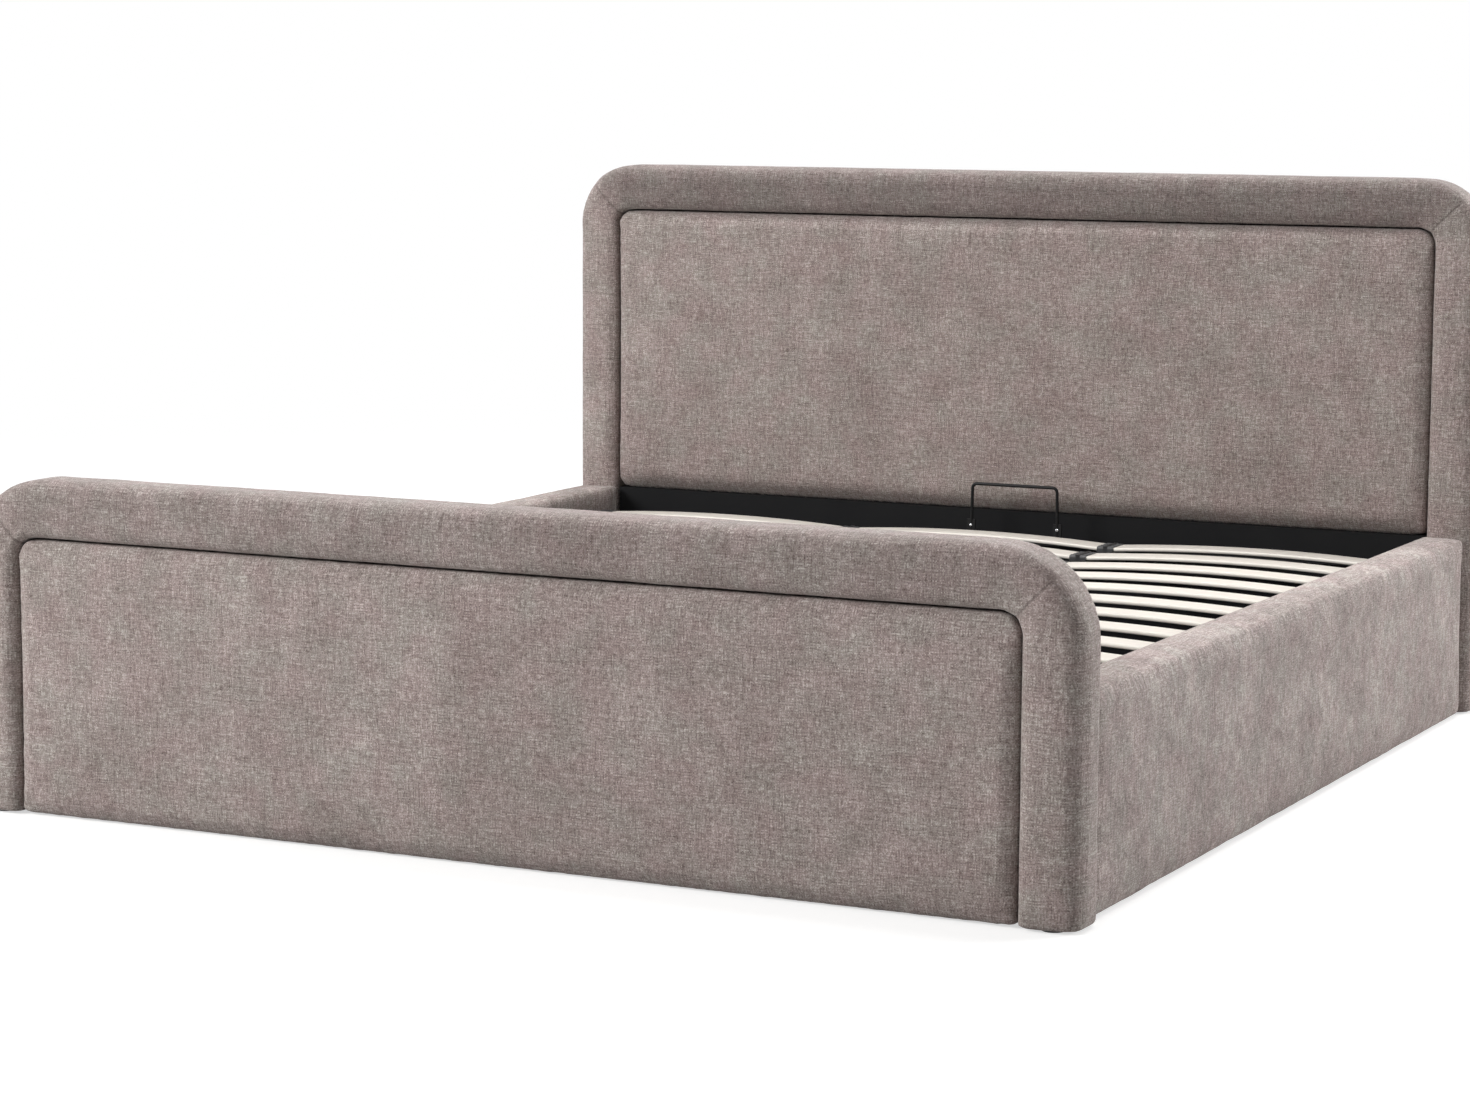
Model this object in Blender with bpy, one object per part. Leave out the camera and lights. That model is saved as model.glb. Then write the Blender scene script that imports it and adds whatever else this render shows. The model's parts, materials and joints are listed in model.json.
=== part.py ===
"""Upholstered storage bed with an end-lift slatted platform on gas struts.

Metres, +Z up, origin on the floor under the middle of the bed.
+Y points to the headboard and +X to the right of someone who stands at the foot.
"""
from math import cos, pi, radians, sin, sqrt

import bmesh
import bpy
from mathutils import Matrix, Vector

# Clearances shared by all pieces
SEAT_GAP = 0.0003          # between pieces that rest on or against each other
RUN_GAP = 0.0004           # radial play of a pin or rod in its bore
CUT_OVERRUN = 0.002        # how far a cutter runs past the faces that it opens

# Whole bed
OUTER_WIDTH = 2.030
OUTER_LENGTH = 2.230
GLIDE_HEIGHT = 0.006
GLIDE_RADIUS = 0.018

# Headboard and footboard
BOARD_DEPTH = 0.090
CORE_THICKNESS = 0.024
HEADBOARD_HEIGHT = 1.062
FOOTBOARD_HEIGHT = 0.577
BORDER_SIDE_WIDTH = 0.101
BORDER_TOP_WIDTH = 0.098
HEADBOARD_CORNER_RADIUS = 0.130
FOOTBOARD_CORNER_RADIUS = 0.160
BORDER_INNER_RADIUS = 0.034
BORDER_OUTER_ROLL = 0.024
BORDER_INNER_ROLL = 0.014
GROOVE_WIDTH = 0.0045
PAD_CROWN = 0.010
PAD_EDGE_ROLL = 0.018
PAD_DRAW_IN = 0.003
CROWN_SHARES = (0.18, 0.34, 0.55, 0.8)
SHARPEST_CORNER = 0.0003
HEADBOARD_PAD_BOTTOM = 0.352
HEADBOARD_PAD_FOOT_RADIUS = 0.020
FOOTBOARD_PAD_FOOT_RADIUS = 0.008
LOWER_BOARD_RECESS = 0.012

# Side rails
RAIL_HEIGHT = 0.359
RAIL_INSET = 0.0134
RAIL_THICKNESS = 0.0936
RAIL_CORE_THICKNESS = 0.034
RAIL_TOP_PADDING = 0.014
RAIL_OUTER_ROLL = 0.015
RAIL_INNER_ROLL = 0.009
RAIL_FOOT_ROLL = 0.008
RAIL_BULGE = 0.003
RAIL_BULGE_SHARES = (0.3, 0.5, 0.7)

# Ledgers that the closed platform rests on
LEDGER_WIDTH = 0.025
LEDGER_HEIGHT = 0.040
LEDGER_TO_STRUT = 0.090
LEDGER_FOOT_MARGIN = 0.045

# Base of the storage box
BASE_BEAM_WIDTH = 0.060
BASE_BEAM_HEIGHT = 0.030
BASE_PANEL_THICKNESS = 0.009
BASE_PANEL_MARGIN = 0.005
BASE_PANEL_SPLIT = 0.003

# Corner brackets
BRACKET_ARM = 0.040
BRACKET_THICKNESS = 0.004
BRACKET_BOTTOM = 0.060
BRACKET_TO_LEDGER = 0.005

# Lifting platform
TUBE_WIDTH = 0.020
TUBE_HEIGHT = 0.040
TUBE_WALL = 0.002
INNER_BAR_WIDTH = 0.030
INNER_BAR_OFFSET = 0.296
PLATFORM_SIDE_CLEARANCE = 0.010
PLATFORM_FOOT_CLEARANCE = 0.015
PLATFORM_HEAD_CLEARANCE = 0.050
PLATFORM_TOP = 0.295

# Slats
SLAT_ROWS = 13
SLAT_WIDTH = 0.063
SLAT_THICKNESS = 0.008
SLAT_ARCH = 0.011
SLAT_CLIP_FLOOR = 0.006
SLAT_CLIP_WIDTH = 0.035
SLAT_CLIP_LIP = 0.002
SLAT_HEAD_MARGIN = 0.087
SLAT_FOOT_MARGIN = 0.0676

# Mattress retainer and lift strap
RETAINER_WIRE = 0.007
RETAINER_WIDTH = 0.200
RETAINER_RISE = 0.123
RETAINER_BEND = 0.010
RETAINER_SPLAY = 0.002
RETAINER_OFFSET = 0.060
RETAINER_TAB_WIDTH = 0.018
RETAINER_TAB_HEIGHT = 0.044
RETAINER_TAB_THICKNESS = 0.004
STRAP_WIDTH = 0.018
STRAP_THICKNESS = 0.0025
STRAP_LENGTH = 0.220
STRAP_TAIL = 0.030
STRAP_RISE = 0.022
STRAP_FULLNESS = 0.7       # power of the arch, where less than one gives fuller shoulders

# Lift hinge and gas struts
PIVOT_TO_HEADBOARD = 0.340
PIVOT_RADIUS = 0.006
PIVOT_HEAD_RADIUS = 0.010
PIVOT_HEAD_THICKNESS = 0.006
PLATE_THICKNESS = 0.0042
PLATE_MARGIN = 0.028
PLATE_BOSS_RADIUS = 0.014
STRUT_ARM = 0.290
STRUT_REST_ANGLE = radians(46)
STRUT_TO_TUBE = 0.005
STRUT_EYE_RADIUS = 0.011
STRUT_EYE_WIDTH = 0.018
STRUT_PIN_RADIUS = 0.004
STRUT_PIN_HEAD = 0.008
STRUT_PIN_HEAD_THICKNESS = 0.005
CYLINDER_RADIUS = 0.011
CYLINDER_NECK_RADIUS = 0.007
CYLINDER_START = 0.020
CYLINDER_END = 0.204
CYLINDER_FLOOR = 0.006
ROD_RADIUS = 0.005
ROD_LENGTH = 0.194

# Worked out from the sizes above
HALF_WIDTH = OUTER_WIDTH / 2
HEAD_BACK = OUTER_LENGTH / 2
HEAD_FACE = HEAD_BACK - BOARD_DEPTH
FOOT_FACE = -OUTER_LENGTH / 2
FOOT_INSIDE = FOOT_FACE + BOARD_DEPTH
BORDER_DEPTH = BOARD_DEPTH - CORE_THICKNESS - SEAT_GAP
FRAME_BOTTOM = GLIDE_HEIGHT + SEAT_GAP
RAIL_OUTER = HALF_WIDTH - RAIL_INSET
RAIL_INNER_HALF = RAIL_OUTER - RAIL_THICKNESS
RAIL_FACE = RAIL_INNER_HALF - SEAT_GAP
PLATFORM_HALF = RAIL_INNER_HALF - PLATFORM_SIDE_CLEARANCE
PLATFORM_FOOT = FOOT_INSIDE + PLATFORM_FOOT_CLEARANCE
PLATFORM_HEAD = HEAD_FACE - PLATFORM_HEAD_CLEARANCE
PLATFORM_BOTTOM = PLATFORM_TOP - TUBE_HEIGHT
TUBE_INNER = PLATFORM_HALF - TUBE_WIDTH
LEDGER_TOP = PLATFORM_BOTTOM - SEAT_GAP
LEDGER_BOTTOM = LEDGER_TOP - LEDGER_HEIGHT
PANEL_BOTTOM = BASE_BEAM_HEIGHT + SEAT_GAP
SLAT_SEAT = PLATFORM_TOP + SEAT_GAP
SLAT_SPAN = HEAD_FACE - SLAT_HEAD_MARGIN - FOOT_INSIDE - SLAT_FOOT_MARGIN
SLAT_PITCH = (SLAT_SPAN - SLAT_WIDTH) / (SLAT_ROWS - 1)
PIVOT = Vector((0, HEAD_FACE - PIVOT_TO_HEADBOARD, PLATFORM_TOP - TUBE_HEIGHT / 2))
STRUT_BASE = PIVOT + STRUT_ARM * Vector((0, -cos(STRUT_REST_ANGLE), -sin(STRUT_REST_ANGLE)))
STRUT_TOP = PIVOT + Vector((0, -STRUT_ARM, 0))
STRUT_CLOSED = (STRUT_TOP - STRUT_BASE).length
STRUT_PLANE = TUBE_INNER - STRUT_TO_TUBE - CYLINDER_RADIUS
PLATE_INNER = RAIL_FACE - PLATE_THICKNESS

SIDES = (("left", -1), ("right", 1))
ROUND_SIDES = 16
CORNER_STEPS = 8


def material(name, colour, roughness, metallic=0.0):
    made = bpy.data.materials.new(name)
    made.use_nodes = True
    shader = made.node_tree.nodes["Principled BSDF"]
    shader.inputs["Base Color"].default_value = (*colour, 1.0)
    shader.inputs["Roughness"].default_value = roughness
    shader.inputs["Metallic"].default_value = metallic
    return made


def place_of(item):
    """Where an object or empty stands in the bed's frame."""
    total = Vector()
    while item:
        total += item.location
        item = item.parent
    return total


def finish(name, mesh_data, look, parent=None, smooth=True):
    """Turn a bmesh in bed coordinates into an object with its origin at its parent's place."""
    origin = place_of(parent)
    bmesh.ops.recalc_face_normals(mesh_data, faces=mesh_data.faces)
    bmesh.ops.translate(mesh_data, verts=mesh_data.verts, vec=-origin)
    mesh = bpy.data.meshes.new(name)
    mesh_data.to_mesh(mesh)
    mesh_data.free()
    if smooth:
        mesh.shade_smooth()
        mesh.set_sharp_from_angle(angle=radians(32))
    mesh.materials.append(look)
    made = bpy.data.objects.new(name, mesh)
    bpy.context.scene.collection.objects.link(made)
    made.parent = parent
    return made


def empty(name, place, parent=None):
    """An axis that pieces hang from, given by its place in the bed's frame."""
    made = bpy.data.objects.new(name, None)
    bpy.context.scene.collection.objects.link(made)
    made.location = Vector(place) - place_of(parent)
    made.parent = parent
    return made


def join_boolean(target, tool, operation):
    """Cut or join with a second object that isn't a piece of the bed itself."""
    tool.hide_render = True
    tool.display_type = "WIRE"
    step = target.modifiers.new(tool.name, "BOOLEAN")
    step.operation = operation
    step.solver = "EXACT"
    step.object = tool


def box(low, high):
    """A box between two corners."""
    data = bmesh.new()
    low, high = Vector(low), Vector(high)
    middle = Matrix.Translation((low + high) / 2)
    bmesh.ops.create_cube(data, size=1, matrix=middle @ Matrix.Diagonal((*(high - low), 1)))
    return data


def prism(outline, start, end, along):
    """Extrude a closed outline from start to end along X, Y or Z."""
    data = bmesh.new()
    spread = {
        "X": lambda a, b: (start, a, b),
        "Y": lambda a, b: (a, start, b),
        "Z": lambda a, b: (a, b, start),
    }[along]
    shift = {"X": (end - start, 0, 0), "Y": (0, end - start, 0), "Z": (0, 0, end - start)}[along]
    face = data.faces.new([data.verts.new(spread(a, b)) for a, b in outline])
    grown = bmesh.ops.extrude_face_region(data, geom=[face])
    moved = [item for item in grown["geom"] if isinstance(item, bmesh.types.BMVert)]
    bmesh.ops.translate(data, verts=moved, vec=shift)
    return data


def skin(loops):
    """Close a body over loops of as many points each, with a face at both ends."""
    data = bmesh.new()
    loops = [[data.verts.new(point) for point in loop] for loop in loops]
    data.faces.new(loops[0])
    data.faces.new(loops[-1])
    for lower, upper in zip(loops, loops[1:]):
        for step in range(len(lower)):
            after = (step + 1) % len(lower)
            data.faces.new((lower[step], lower[after], upper[after], upper[step]))
    return data


def lathe(profile, place, sides=ROUND_SIDES):
    """Turn a profile of (radius, height) points about local Z, then place it."""
    data = bmesh.new()
    rings = []
    for radius, height in profile:
        if radius == 0:
            rings.append([data.verts.new(place @ Vector((0, 0, height)))])
            continue
        turns = [2 * pi * step / sides for step in range(sides)]
        ring = [Vector((radius * cos(a), radius * sin(a), height)) for a in turns]
        rings.append([data.verts.new(place @ point) for point in ring])
    for lower, upper in zip(rings, rings[1:]):
        for step in range(sides):
            after = (step + 1) % sides
            corners = [lower[step % len(lower)], lower[after % len(lower)]]
            corners += [upper[after % len(upper)], upper[step % len(upper)]]
            data.faces.new(list(dict.fromkeys(corners)))
    return data


def across(side, distance, centre):
    """Placement whose local Z runs outwards along X from a distance off the middle."""
    turn = Matrix.Rotation(side * pi / 2, 4, "Y")
    return Matrix.Translation((side * distance, centre.y, centre.z)) @ turn


def plug(radius, length):
    """Profile of a plain round bar for the lathe."""
    return [(0, 0), (radius, 0), (radius, length), (0, length)]


def round_tool(target, name, operation, side, start, end, centre, radius):
    """Join or cut a round bar along X between two distances off the middle."""
    data = lathe(plug(radius, end - start), across(side, start, centre))
    tool = finish(name, data, target.active_material, target.parent)
    join_boolean(target, tool, operation)


def arc(centre, radius, start, end, steps):
    """Points on an arc, angles in radians, both ends included."""
    angles = [start + (end - start) * step / steps for step in range(steps + 1)]
    return [(centre[0] + radius * cos(a), centre[1] + radius * sin(a)) for a in angles]


def rounded_ring(half_width, bottom, top, foot_radius, top_radius, inset):
    """Outline of a panel with rounded corners, drawn in by the inset all round."""
    half = half_width - inset
    low, high = bottom + inset, top - inset
    corners = (
        (1, high, top_radius, 0), (-1, high, top_radius, 1),
        (-1, low, foot_radius, 2), (1, low, foot_radius, 3),
    )
    points = []
    for side, level, radius, quarter in corners:
        radius = max(radius - inset, SHARPEST_CORNER)
        upright = 1 if quarter < 2 else -1
        centre = (side * (half - radius), level - upright * radius)
        points += arc(centre, radius, quarter * pi / 2, (quarter + 1) * pi / 2, CORNER_STEPS)
    return points


def make_pad(name, half_width, bottom, top, foot_radius, top_radius, front, look):
    """A padded panel: drawn in at the back, rolled at the edge, crowned in front."""
    edge = PAD_CROWN
    reach = (top - bottom) / 2
    rings = [(PAD_DRAW_IN, BORDER_DEPTH), (0, edge + PAD_EDGE_ROLL)]
    for step in range(1, 5):
        angle = step * pi / 8
        rings.append((PAD_EDGE_ROLL * (1 - cos(angle)), edge + PAD_EDGE_ROLL * (1 - sin(angle))))
    for share in CROWN_SHARES:
        inset = PAD_EDGE_ROLL + (reach - PAD_EDGE_ROLL) * share
        rings.append((inset, edge * (1 - share) ** 2))
    loops = []
    for inset, setback in rings:
        outline = rounded_ring(half_width, bottom, top, foot_radius, top_radius, inset)
        loops.append([(x, front + setback, z) for x, z in outline])
    return finish(name, skin(loops), look)


def make_border(name, height, corner_radius, front, look):
    """The rolled frame round a pad: two legs and a top rail with rounded corners."""
    inner_half = HALF_WIDTH - BORDER_SIDE_WIDTH
    inner_top = height - BORDER_TOP_WIDTH
    outer_centre = (HALF_WIDTH - corner_radius, height - corner_radius)
    outer = arc(outer_centre, corner_radius, 0, pi / 2, CORNER_STEPS)
    inner_centre = (inner_half - BORDER_INNER_RADIUS, inner_top - BORDER_INNER_RADIUS)
    inner = arc(inner_centre, BORDER_INNER_RADIUS, 0, pi / 2, CORNER_STEPS)
    outer = [(HALF_WIDTH, FRAME_BOTTOM)] + outer
    inner = [(inner_half, FRAME_BOTTOM)] + inner
    outer += [(-x, z) for x, z in reversed(outer)]
    inner += [(-x, z) for x, z in reversed(inner)]
    loops = []
    for (ox, oz), (ix, iz) in zip(outer, inner):
        width = sqrt((ix - ox) ** 2 + (iz - oz) ** 2)
        section = [(0, BORDER_DEPTH)]
        section += arc((BORDER_OUTER_ROLL, BORDER_OUTER_ROLL), BORDER_OUTER_ROLL, pi, 3 * pi / 2, 4)
        section += arc((width - BORDER_INNER_ROLL, BORDER_INNER_ROLL), BORDER_INNER_ROLL, -pi / 2, 0, 4)
        section.append((width, BORDER_DEPTH))
        loop = []
        for distance, setback in section:
            share = distance / width
            loop.append((ox + (ix - ox) * share, front + setback, oz + (iz - oz) * share))
        loops.append(loop)
    return finish(name, skin(loops), look)


def make_core(name, height, corner_radius, front, look):
    """The timber board that carries a border and its pad, covered at the back."""
    centre = (HALF_WIDTH - corner_radius, height - corner_radius)
    right = arc(centre, corner_radius, 0, pi / 2, CORNER_STEPS)
    left = [(-x, z) for x, z in reversed(right)]
    outline = [(HALF_WIDTH, FRAME_BOTTOM)] + right + left + [(-HALF_WIDTH, FRAME_BOTTOM)]
    start = front + BORDER_DEPTH + SEAT_GAP
    return finish(name, prism(outline, start, start + CORE_THICKNESS, "Y"), look)


def make_boards():
    """Headboard and footboard, each a core, a rolled border and an inset pad."""
    pad_half = HALF_WIDTH - BORDER_SIDE_WIDTH - GROOVE_WIDTH
    pad_radius = BORDER_INNER_RADIUS - GROOVE_WIDTH
    head_top = HEADBOARD_HEIGHT - BORDER_TOP_WIDTH - GROOVE_WIDTH
    foot_top = FOOTBOARD_HEIGHT - BORDER_TOP_WIDTH - GROOVE_WIDTH
    make_core("headboard_core", HEADBOARD_HEIGHT, HEADBOARD_CORNER_RADIUS, HEAD_FACE, cover_cloth)
    make_core("footboard_core", FOOTBOARD_HEIGHT, FOOTBOARD_CORNER_RADIUS, FOOT_FACE, cover_cloth)
    make_border("headboard_border", HEADBOARD_HEIGHT, HEADBOARD_CORNER_RADIUS, HEAD_FACE, cover_cloth)
    make_border("footboard_border", FOOTBOARD_HEIGHT, FOOTBOARD_CORNER_RADIUS, FOOT_FACE, cover_cloth)
    make_pad("headboard_pad", pad_half, HEADBOARD_PAD_BOTTOM, head_top,
             HEADBOARD_PAD_FOOT_RADIUS, pad_radius, HEAD_FACE, cover_cloth)
    make_pad("footboard_pad", pad_half, FRAME_BOTTOM, foot_top,
             FOOTBOARD_PAD_FOOT_RADIUS, pad_radius, FOOT_FACE, cover_cloth)
    low = (-pad_half, HEAD_FACE + LOWER_BOARD_RECESS, FRAME_BOTTOM)
    high = (pad_half, HEAD_FACE + BORDER_DEPTH, HEADBOARD_PAD_BOTTOM - SEAT_GAP)
    finish("headboard_lower_board", box(low, high), black_lining, smooth=False)


def make_side_rail(label, side):
    """A cloth-covered timber plank with padding over its outer face and its top."""
    start = FOOT_INSIDE + SEAT_GAP
    end = HEAD_FACE - SEAT_GAP
    plank_top = RAIL_HEIGHT - RAIL_TOP_PADDING
    plank_outer = RAIL_INNER_HALF + RAIL_CORE_THICKNESS
    low = (min(side * RAIL_INNER_HALF, side * plank_outer), start, FRAME_BOTTOM)
    high = (max(side * RAIL_INNER_HALF, side * plank_outer), end, plank_top - SEAT_GAP)
    finish(f"side_rail_core_{label}", box(low, high), cover_cloth, smooth=False)
    flat = RAIL_OUTER - RAIL_BULGE
    roll_centre = RAIL_HEIGHT - RAIL_OUTER_ROLL
    outline = [(RAIL_INNER_HALF, plank_top)]
    inner_roll_centre = (RAIL_INNER_HALF + RAIL_INNER_ROLL, RAIL_HEIGHT - RAIL_INNER_ROLL)
    outline += arc(inner_roll_centre, RAIL_INNER_ROLL, pi, pi / 2, 3)
    outline += arc((flat - RAIL_OUTER_ROLL, roll_centre), RAIL_OUTER_ROLL, pi / 2, 0, 5)
    for share in RAIL_BULGE_SHARES:
        height = roll_centre + (FRAME_BOTTOM + RAIL_FOOT_ROLL - roll_centre) * share
        outline.append((flat + RAIL_BULGE * (1 - (2 * share - 1) ** 2), height))
    foot_roll_centre = (flat - RAIL_FOOT_ROLL, FRAME_BOTTOM + RAIL_FOOT_ROLL)
    outline += arc(foot_roll_centre, RAIL_FOOT_ROLL, 0, -pi / 2, 2)
    outline += [(plank_outer + SEAT_GAP, FRAME_BOTTOM), (plank_outer + SEAT_GAP, plank_top)]
    outline = [(side * x, z) for x, z in outline]
    finish(f"side_rail_pad_{label}", prism(outline, start, end, "Y"), cover_cloth)


def make_ledgers(label, side):
    """Batten that the closed platform rests on, and the one under the base panel."""
    low_x, high_x = sorted((side * (RAIL_FACE - LEDGER_WIDTH), side * RAIL_FACE))
    low = (low_x, FOOT_INSIDE + LEDGER_FOOT_MARGIN, LEDGER_BOTTOM)
    high = (high_x, STRUT_TOP.y - LEDGER_TO_STRUT, LEDGER_TOP)
    finish(f"ledger_{label}", box(low, high), bare_timber, smooth=False)
    low = (low_x, FOOT_INSIDE + SEAT_GAP, FRAME_BOTTOM)
    high = (high_x, HEAD_FACE - SEAT_GAP, BASE_BEAM_HEIGHT)
    finish(f"base_batten_{label}", box(low, high), bare_timber, smooth=False)


def make_storage_base():
    """Floor of the storage box: a centre beam and two loose panels."""
    half_beam = BASE_BEAM_WIDTH / 2
    low = (-half_beam, FOOT_INSIDE + SEAT_GAP, 0)
    high = (half_beam, HEAD_FACE + LOWER_BOARD_RECESS - SEAT_GAP, BASE_BEAM_HEIGHT)
    finish("base_centre_beam", box(low, high), bare_timber, smooth=False)
    for label, side in SIDES:
        panel_edge = RAIL_INNER_HALF - BASE_PANEL_MARGIN
        low_x, high_x = sorted((side * BASE_PANEL_SPLIT / 2, side * panel_edge))
        low = (low_x, FOOT_INSIDE + BASE_PANEL_MARGIN, PANEL_BOTTOM)
        high = (high_x, HEAD_FACE - BASE_PANEL_MARGIN, PANEL_BOTTOM + BASE_PANEL_THICKNESS)
        finish(f"base_panel_{label}", box(low, high), base_board, smooth=False)
    reach = RAIL_FACE - LEDGER_WIDTH - BRACKET_ARM / 2
    low = (-reach, FOOT_INSIDE + SEAT_GAP, LEDGER_BOTTOM)
    high = (reach, FOOT_INSIDE + SEAT_GAP + LEDGER_WIDTH, LEDGER_TOP)
    finish("ledger_foot", box(low, high), bare_timber, smooth=False)


def make_corner_bracket(name, side, wall, inward):
    """Angle bracket between a side rail and the board whose face is the wall."""
    face = wall + inward * SEAT_GAP
    web = BRACKET_THICKNESS
    corner = RAIL_FACE
    outline = [
        (corner, face), (corner, face + inward * BRACKET_ARM), (corner - web, face + inward * BRACKET_ARM),
        (corner - web, face + inward * web), (corner - BRACKET_ARM, face + inward * web),
        (corner - BRACKET_ARM, face),
    ]
    outline = [(side * x, y) for x, y in outline]
    data = prism(outline, BRACKET_BOTTOM, LEDGER_BOTTOM - BRACKET_TO_LEDGER, "Z")
    finish(name, data, steel_black, smooth=False)


def make_feet_and_brackets():
    """A glide under each leg and an angle bracket in each inner corner."""
    inset = HALF_WIDTH - BORDER_SIDE_WIDTH / 2
    for end, front, wall, inward in (
        ("head", HEAD_FACE, HEAD_FACE + LOWER_BOARD_RECESS, -1),
        ("foot", FOOT_FACE, FOOT_INSIDE, 1),
    ):
        for label, side in SIDES:
            make_corner_bracket(f"corner_bracket_{end}_{label}", side, wall, inward)
            place = Matrix.Translation((side * inset, front + BORDER_DEPTH / 2, 0))
            data = lathe(plug(GLIDE_RADIUS, GLIDE_HEIGHT), place)
            finish(f"floor_glide_{end}_{label}", data, plastic_black)


def tube_along_y(name, low_x, width, start, end):
    """Rectangular steel tube along Y, open at both ends."""
    return make_tube(name, "Y", (low_x, low_x + width), (start, end))


def make_tube(name, along, cross, run):
    """Hollow rectangular tube: its cross range, its run and the platform's height."""
    data = bmesh.new()
    ring = []
    for inset in (0, TUBE_WALL):
        corners = [
            (cross[0] + inset, PLATFORM_BOTTOM + inset), (cross[1] - inset, PLATFORM_BOTTOM + inset),
            (cross[1] - inset, PLATFORM_TOP - inset), (cross[0] + inset, PLATFORM_TOP - inset),
        ]
        for place in run:
            if along == "Y":
                ring.append([data.verts.new((a, place, z)) for a, z in corners])
            else:
                ring.append([data.verts.new((place, a, z)) for a, z in corners])
    outer_start, outer_end, inner_start, inner_end = ring
    for first, second in ((outer_start, outer_end), (outer_end, inner_end), (inner_end, inner_start),
                          (inner_start, outer_start)):
        for step in range(4):
            after = (step + 1) % 4
            data.faces.new((first[step], first[after], second[after], second[step]))
    return finish(name, data, steel_black, platform_axis, smooth=False)


def make_platform_frame():
    """Welded frame of four tubes with two inner bars under the slats."""
    for label, side in SIDES:
        low_x = min(side * PLATFORM_HALF, side * TUBE_INNER)
        tube = tube_along_y(f"platform_tube_{label}", low_x, TUBE_WIDTH, PLATFORM_FOOT, PLATFORM_HEAD)
        start = TUBE_INNER - CUT_OVERRUN
        end = PLATFORM_HALF + CUT_OVERRUN
        for name, place, radius in (("pivot", PIVOT, PIVOT_RADIUS), ("strut", STRUT_TOP, STRUT_PIN_RADIUS)):
            bore = radius + RUN_GAP
            round_tool(tube, f"cut_tube_{name}_{label}", "DIFFERENCE", side, start, end, place, bore)
    span = (-(TUBE_INNER - SEAT_GAP), TUBE_INNER - SEAT_GAP)
    make_tube("platform_tube_foot", "X", (PLATFORM_FOOT, PLATFORM_FOOT + TUBE_WIDTH), span)
    make_tube("platform_tube_head", "X", (PLATFORM_HEAD - TUBE_WIDTH, PLATFORM_HEAD), span)
    inner_start = PLATFORM_FOOT + TUBE_WIDTH + SEAT_GAP
    inner_end = PLATFORM_HEAD - TUBE_WIDTH - SEAT_GAP
    for label, side in SIDES:
        low_x = side * INNER_BAR_OFFSET - INNER_BAR_WIDTH / 2
        tube_along_y(f"platform_bar_{label}", low_x, INNER_BAR_WIDTH, inner_start, inner_end)


def slat_outline():
    """Cross-section of a slat row: three sprung slats in their clips."""
    end = SLAT_SEAT + SLAT_CLIP_FLOOR
    clip_top = end + SLAT_THICKNESS + SLAT_CLIP_LIP
    half_clip = SLAT_CLIP_WIDTH / 2
    slats = ((-PLATFORM_HALF, -INNER_BAR_OFFSET), (-INNER_BAR_OFFSET, INNER_BAR_OFFSET),
             (INNER_BAR_OFFSET, PLATFORM_HALF))
    under, over = [], []
    for number, (start, stop) in enumerate(slats):
        inner_start = start + (SLAT_CLIP_WIDTH if number == 0 else half_clip)
        inner_stop = stop - (SLAT_CLIP_WIDTH if number == 2 else half_clip)
        outer_start = start if number == 0 else start - half_clip
        rise = []
        for step in range(7):
            x = inner_start + (inner_stop - inner_start) * step / 6
            share = (x - start) / (stop - start)
            rise.append((x, SLAT_ARCH * (1 - (2 * share - 1) ** 2)))
        under += [(outer_start, SLAT_SEAT), (inner_start, SLAT_SEAT)]
        under += [(x, end + lift) for x, lift in rise]
        over += [(outer_start, clip_top), (inner_start, clip_top)]
        over += [(x, end + SLAT_THICKNESS + lift) for x, lift in rise]
    last = PLATFORM_HALF - SLAT_CLIP_WIDTH
    under += [(last, SLAT_SEAT), (PLATFORM_HALF, SLAT_SEAT)]
    over += [(last, clip_top), (PLATFORM_HALF, clip_top)]
    return under + over[::-1]


def make_slats():
    """Evenly spaced rows of slats across the platform."""
    outline = slat_outline()
    for row in range(SLAT_ROWS):
        far = HEAD_FACE - SLAT_HEAD_MARGIN - row * SLAT_PITCH
        data = prism(outline, far - SLAT_WIDTH, far, "Y")
        finish(f"slat_row_{row + 1:02d}", data, pale_birch, platform_axis, smooth=False)


def sweep(points, radius, sides=8):
    """Round wire along points in the XZ plane."""
    rings = []
    for step, point in enumerate(points):
        before = Vector(points[max(step - 1, 0)])
        after = Vector(points[min(step + 1, len(points) - 1)])
        along = (after - before).normalized()
        cross = Vector((0, 1, 0))
        out = along.cross(cross)
        turns = [2 * pi * turn / sides for turn in range(sides)]
        spokes = [radius * (out * cos(a) + cross * sin(a)) for a in turns]
        rings.append([Vector(point) + spoke for spoke in spokes])
    return skin(rings)


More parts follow.
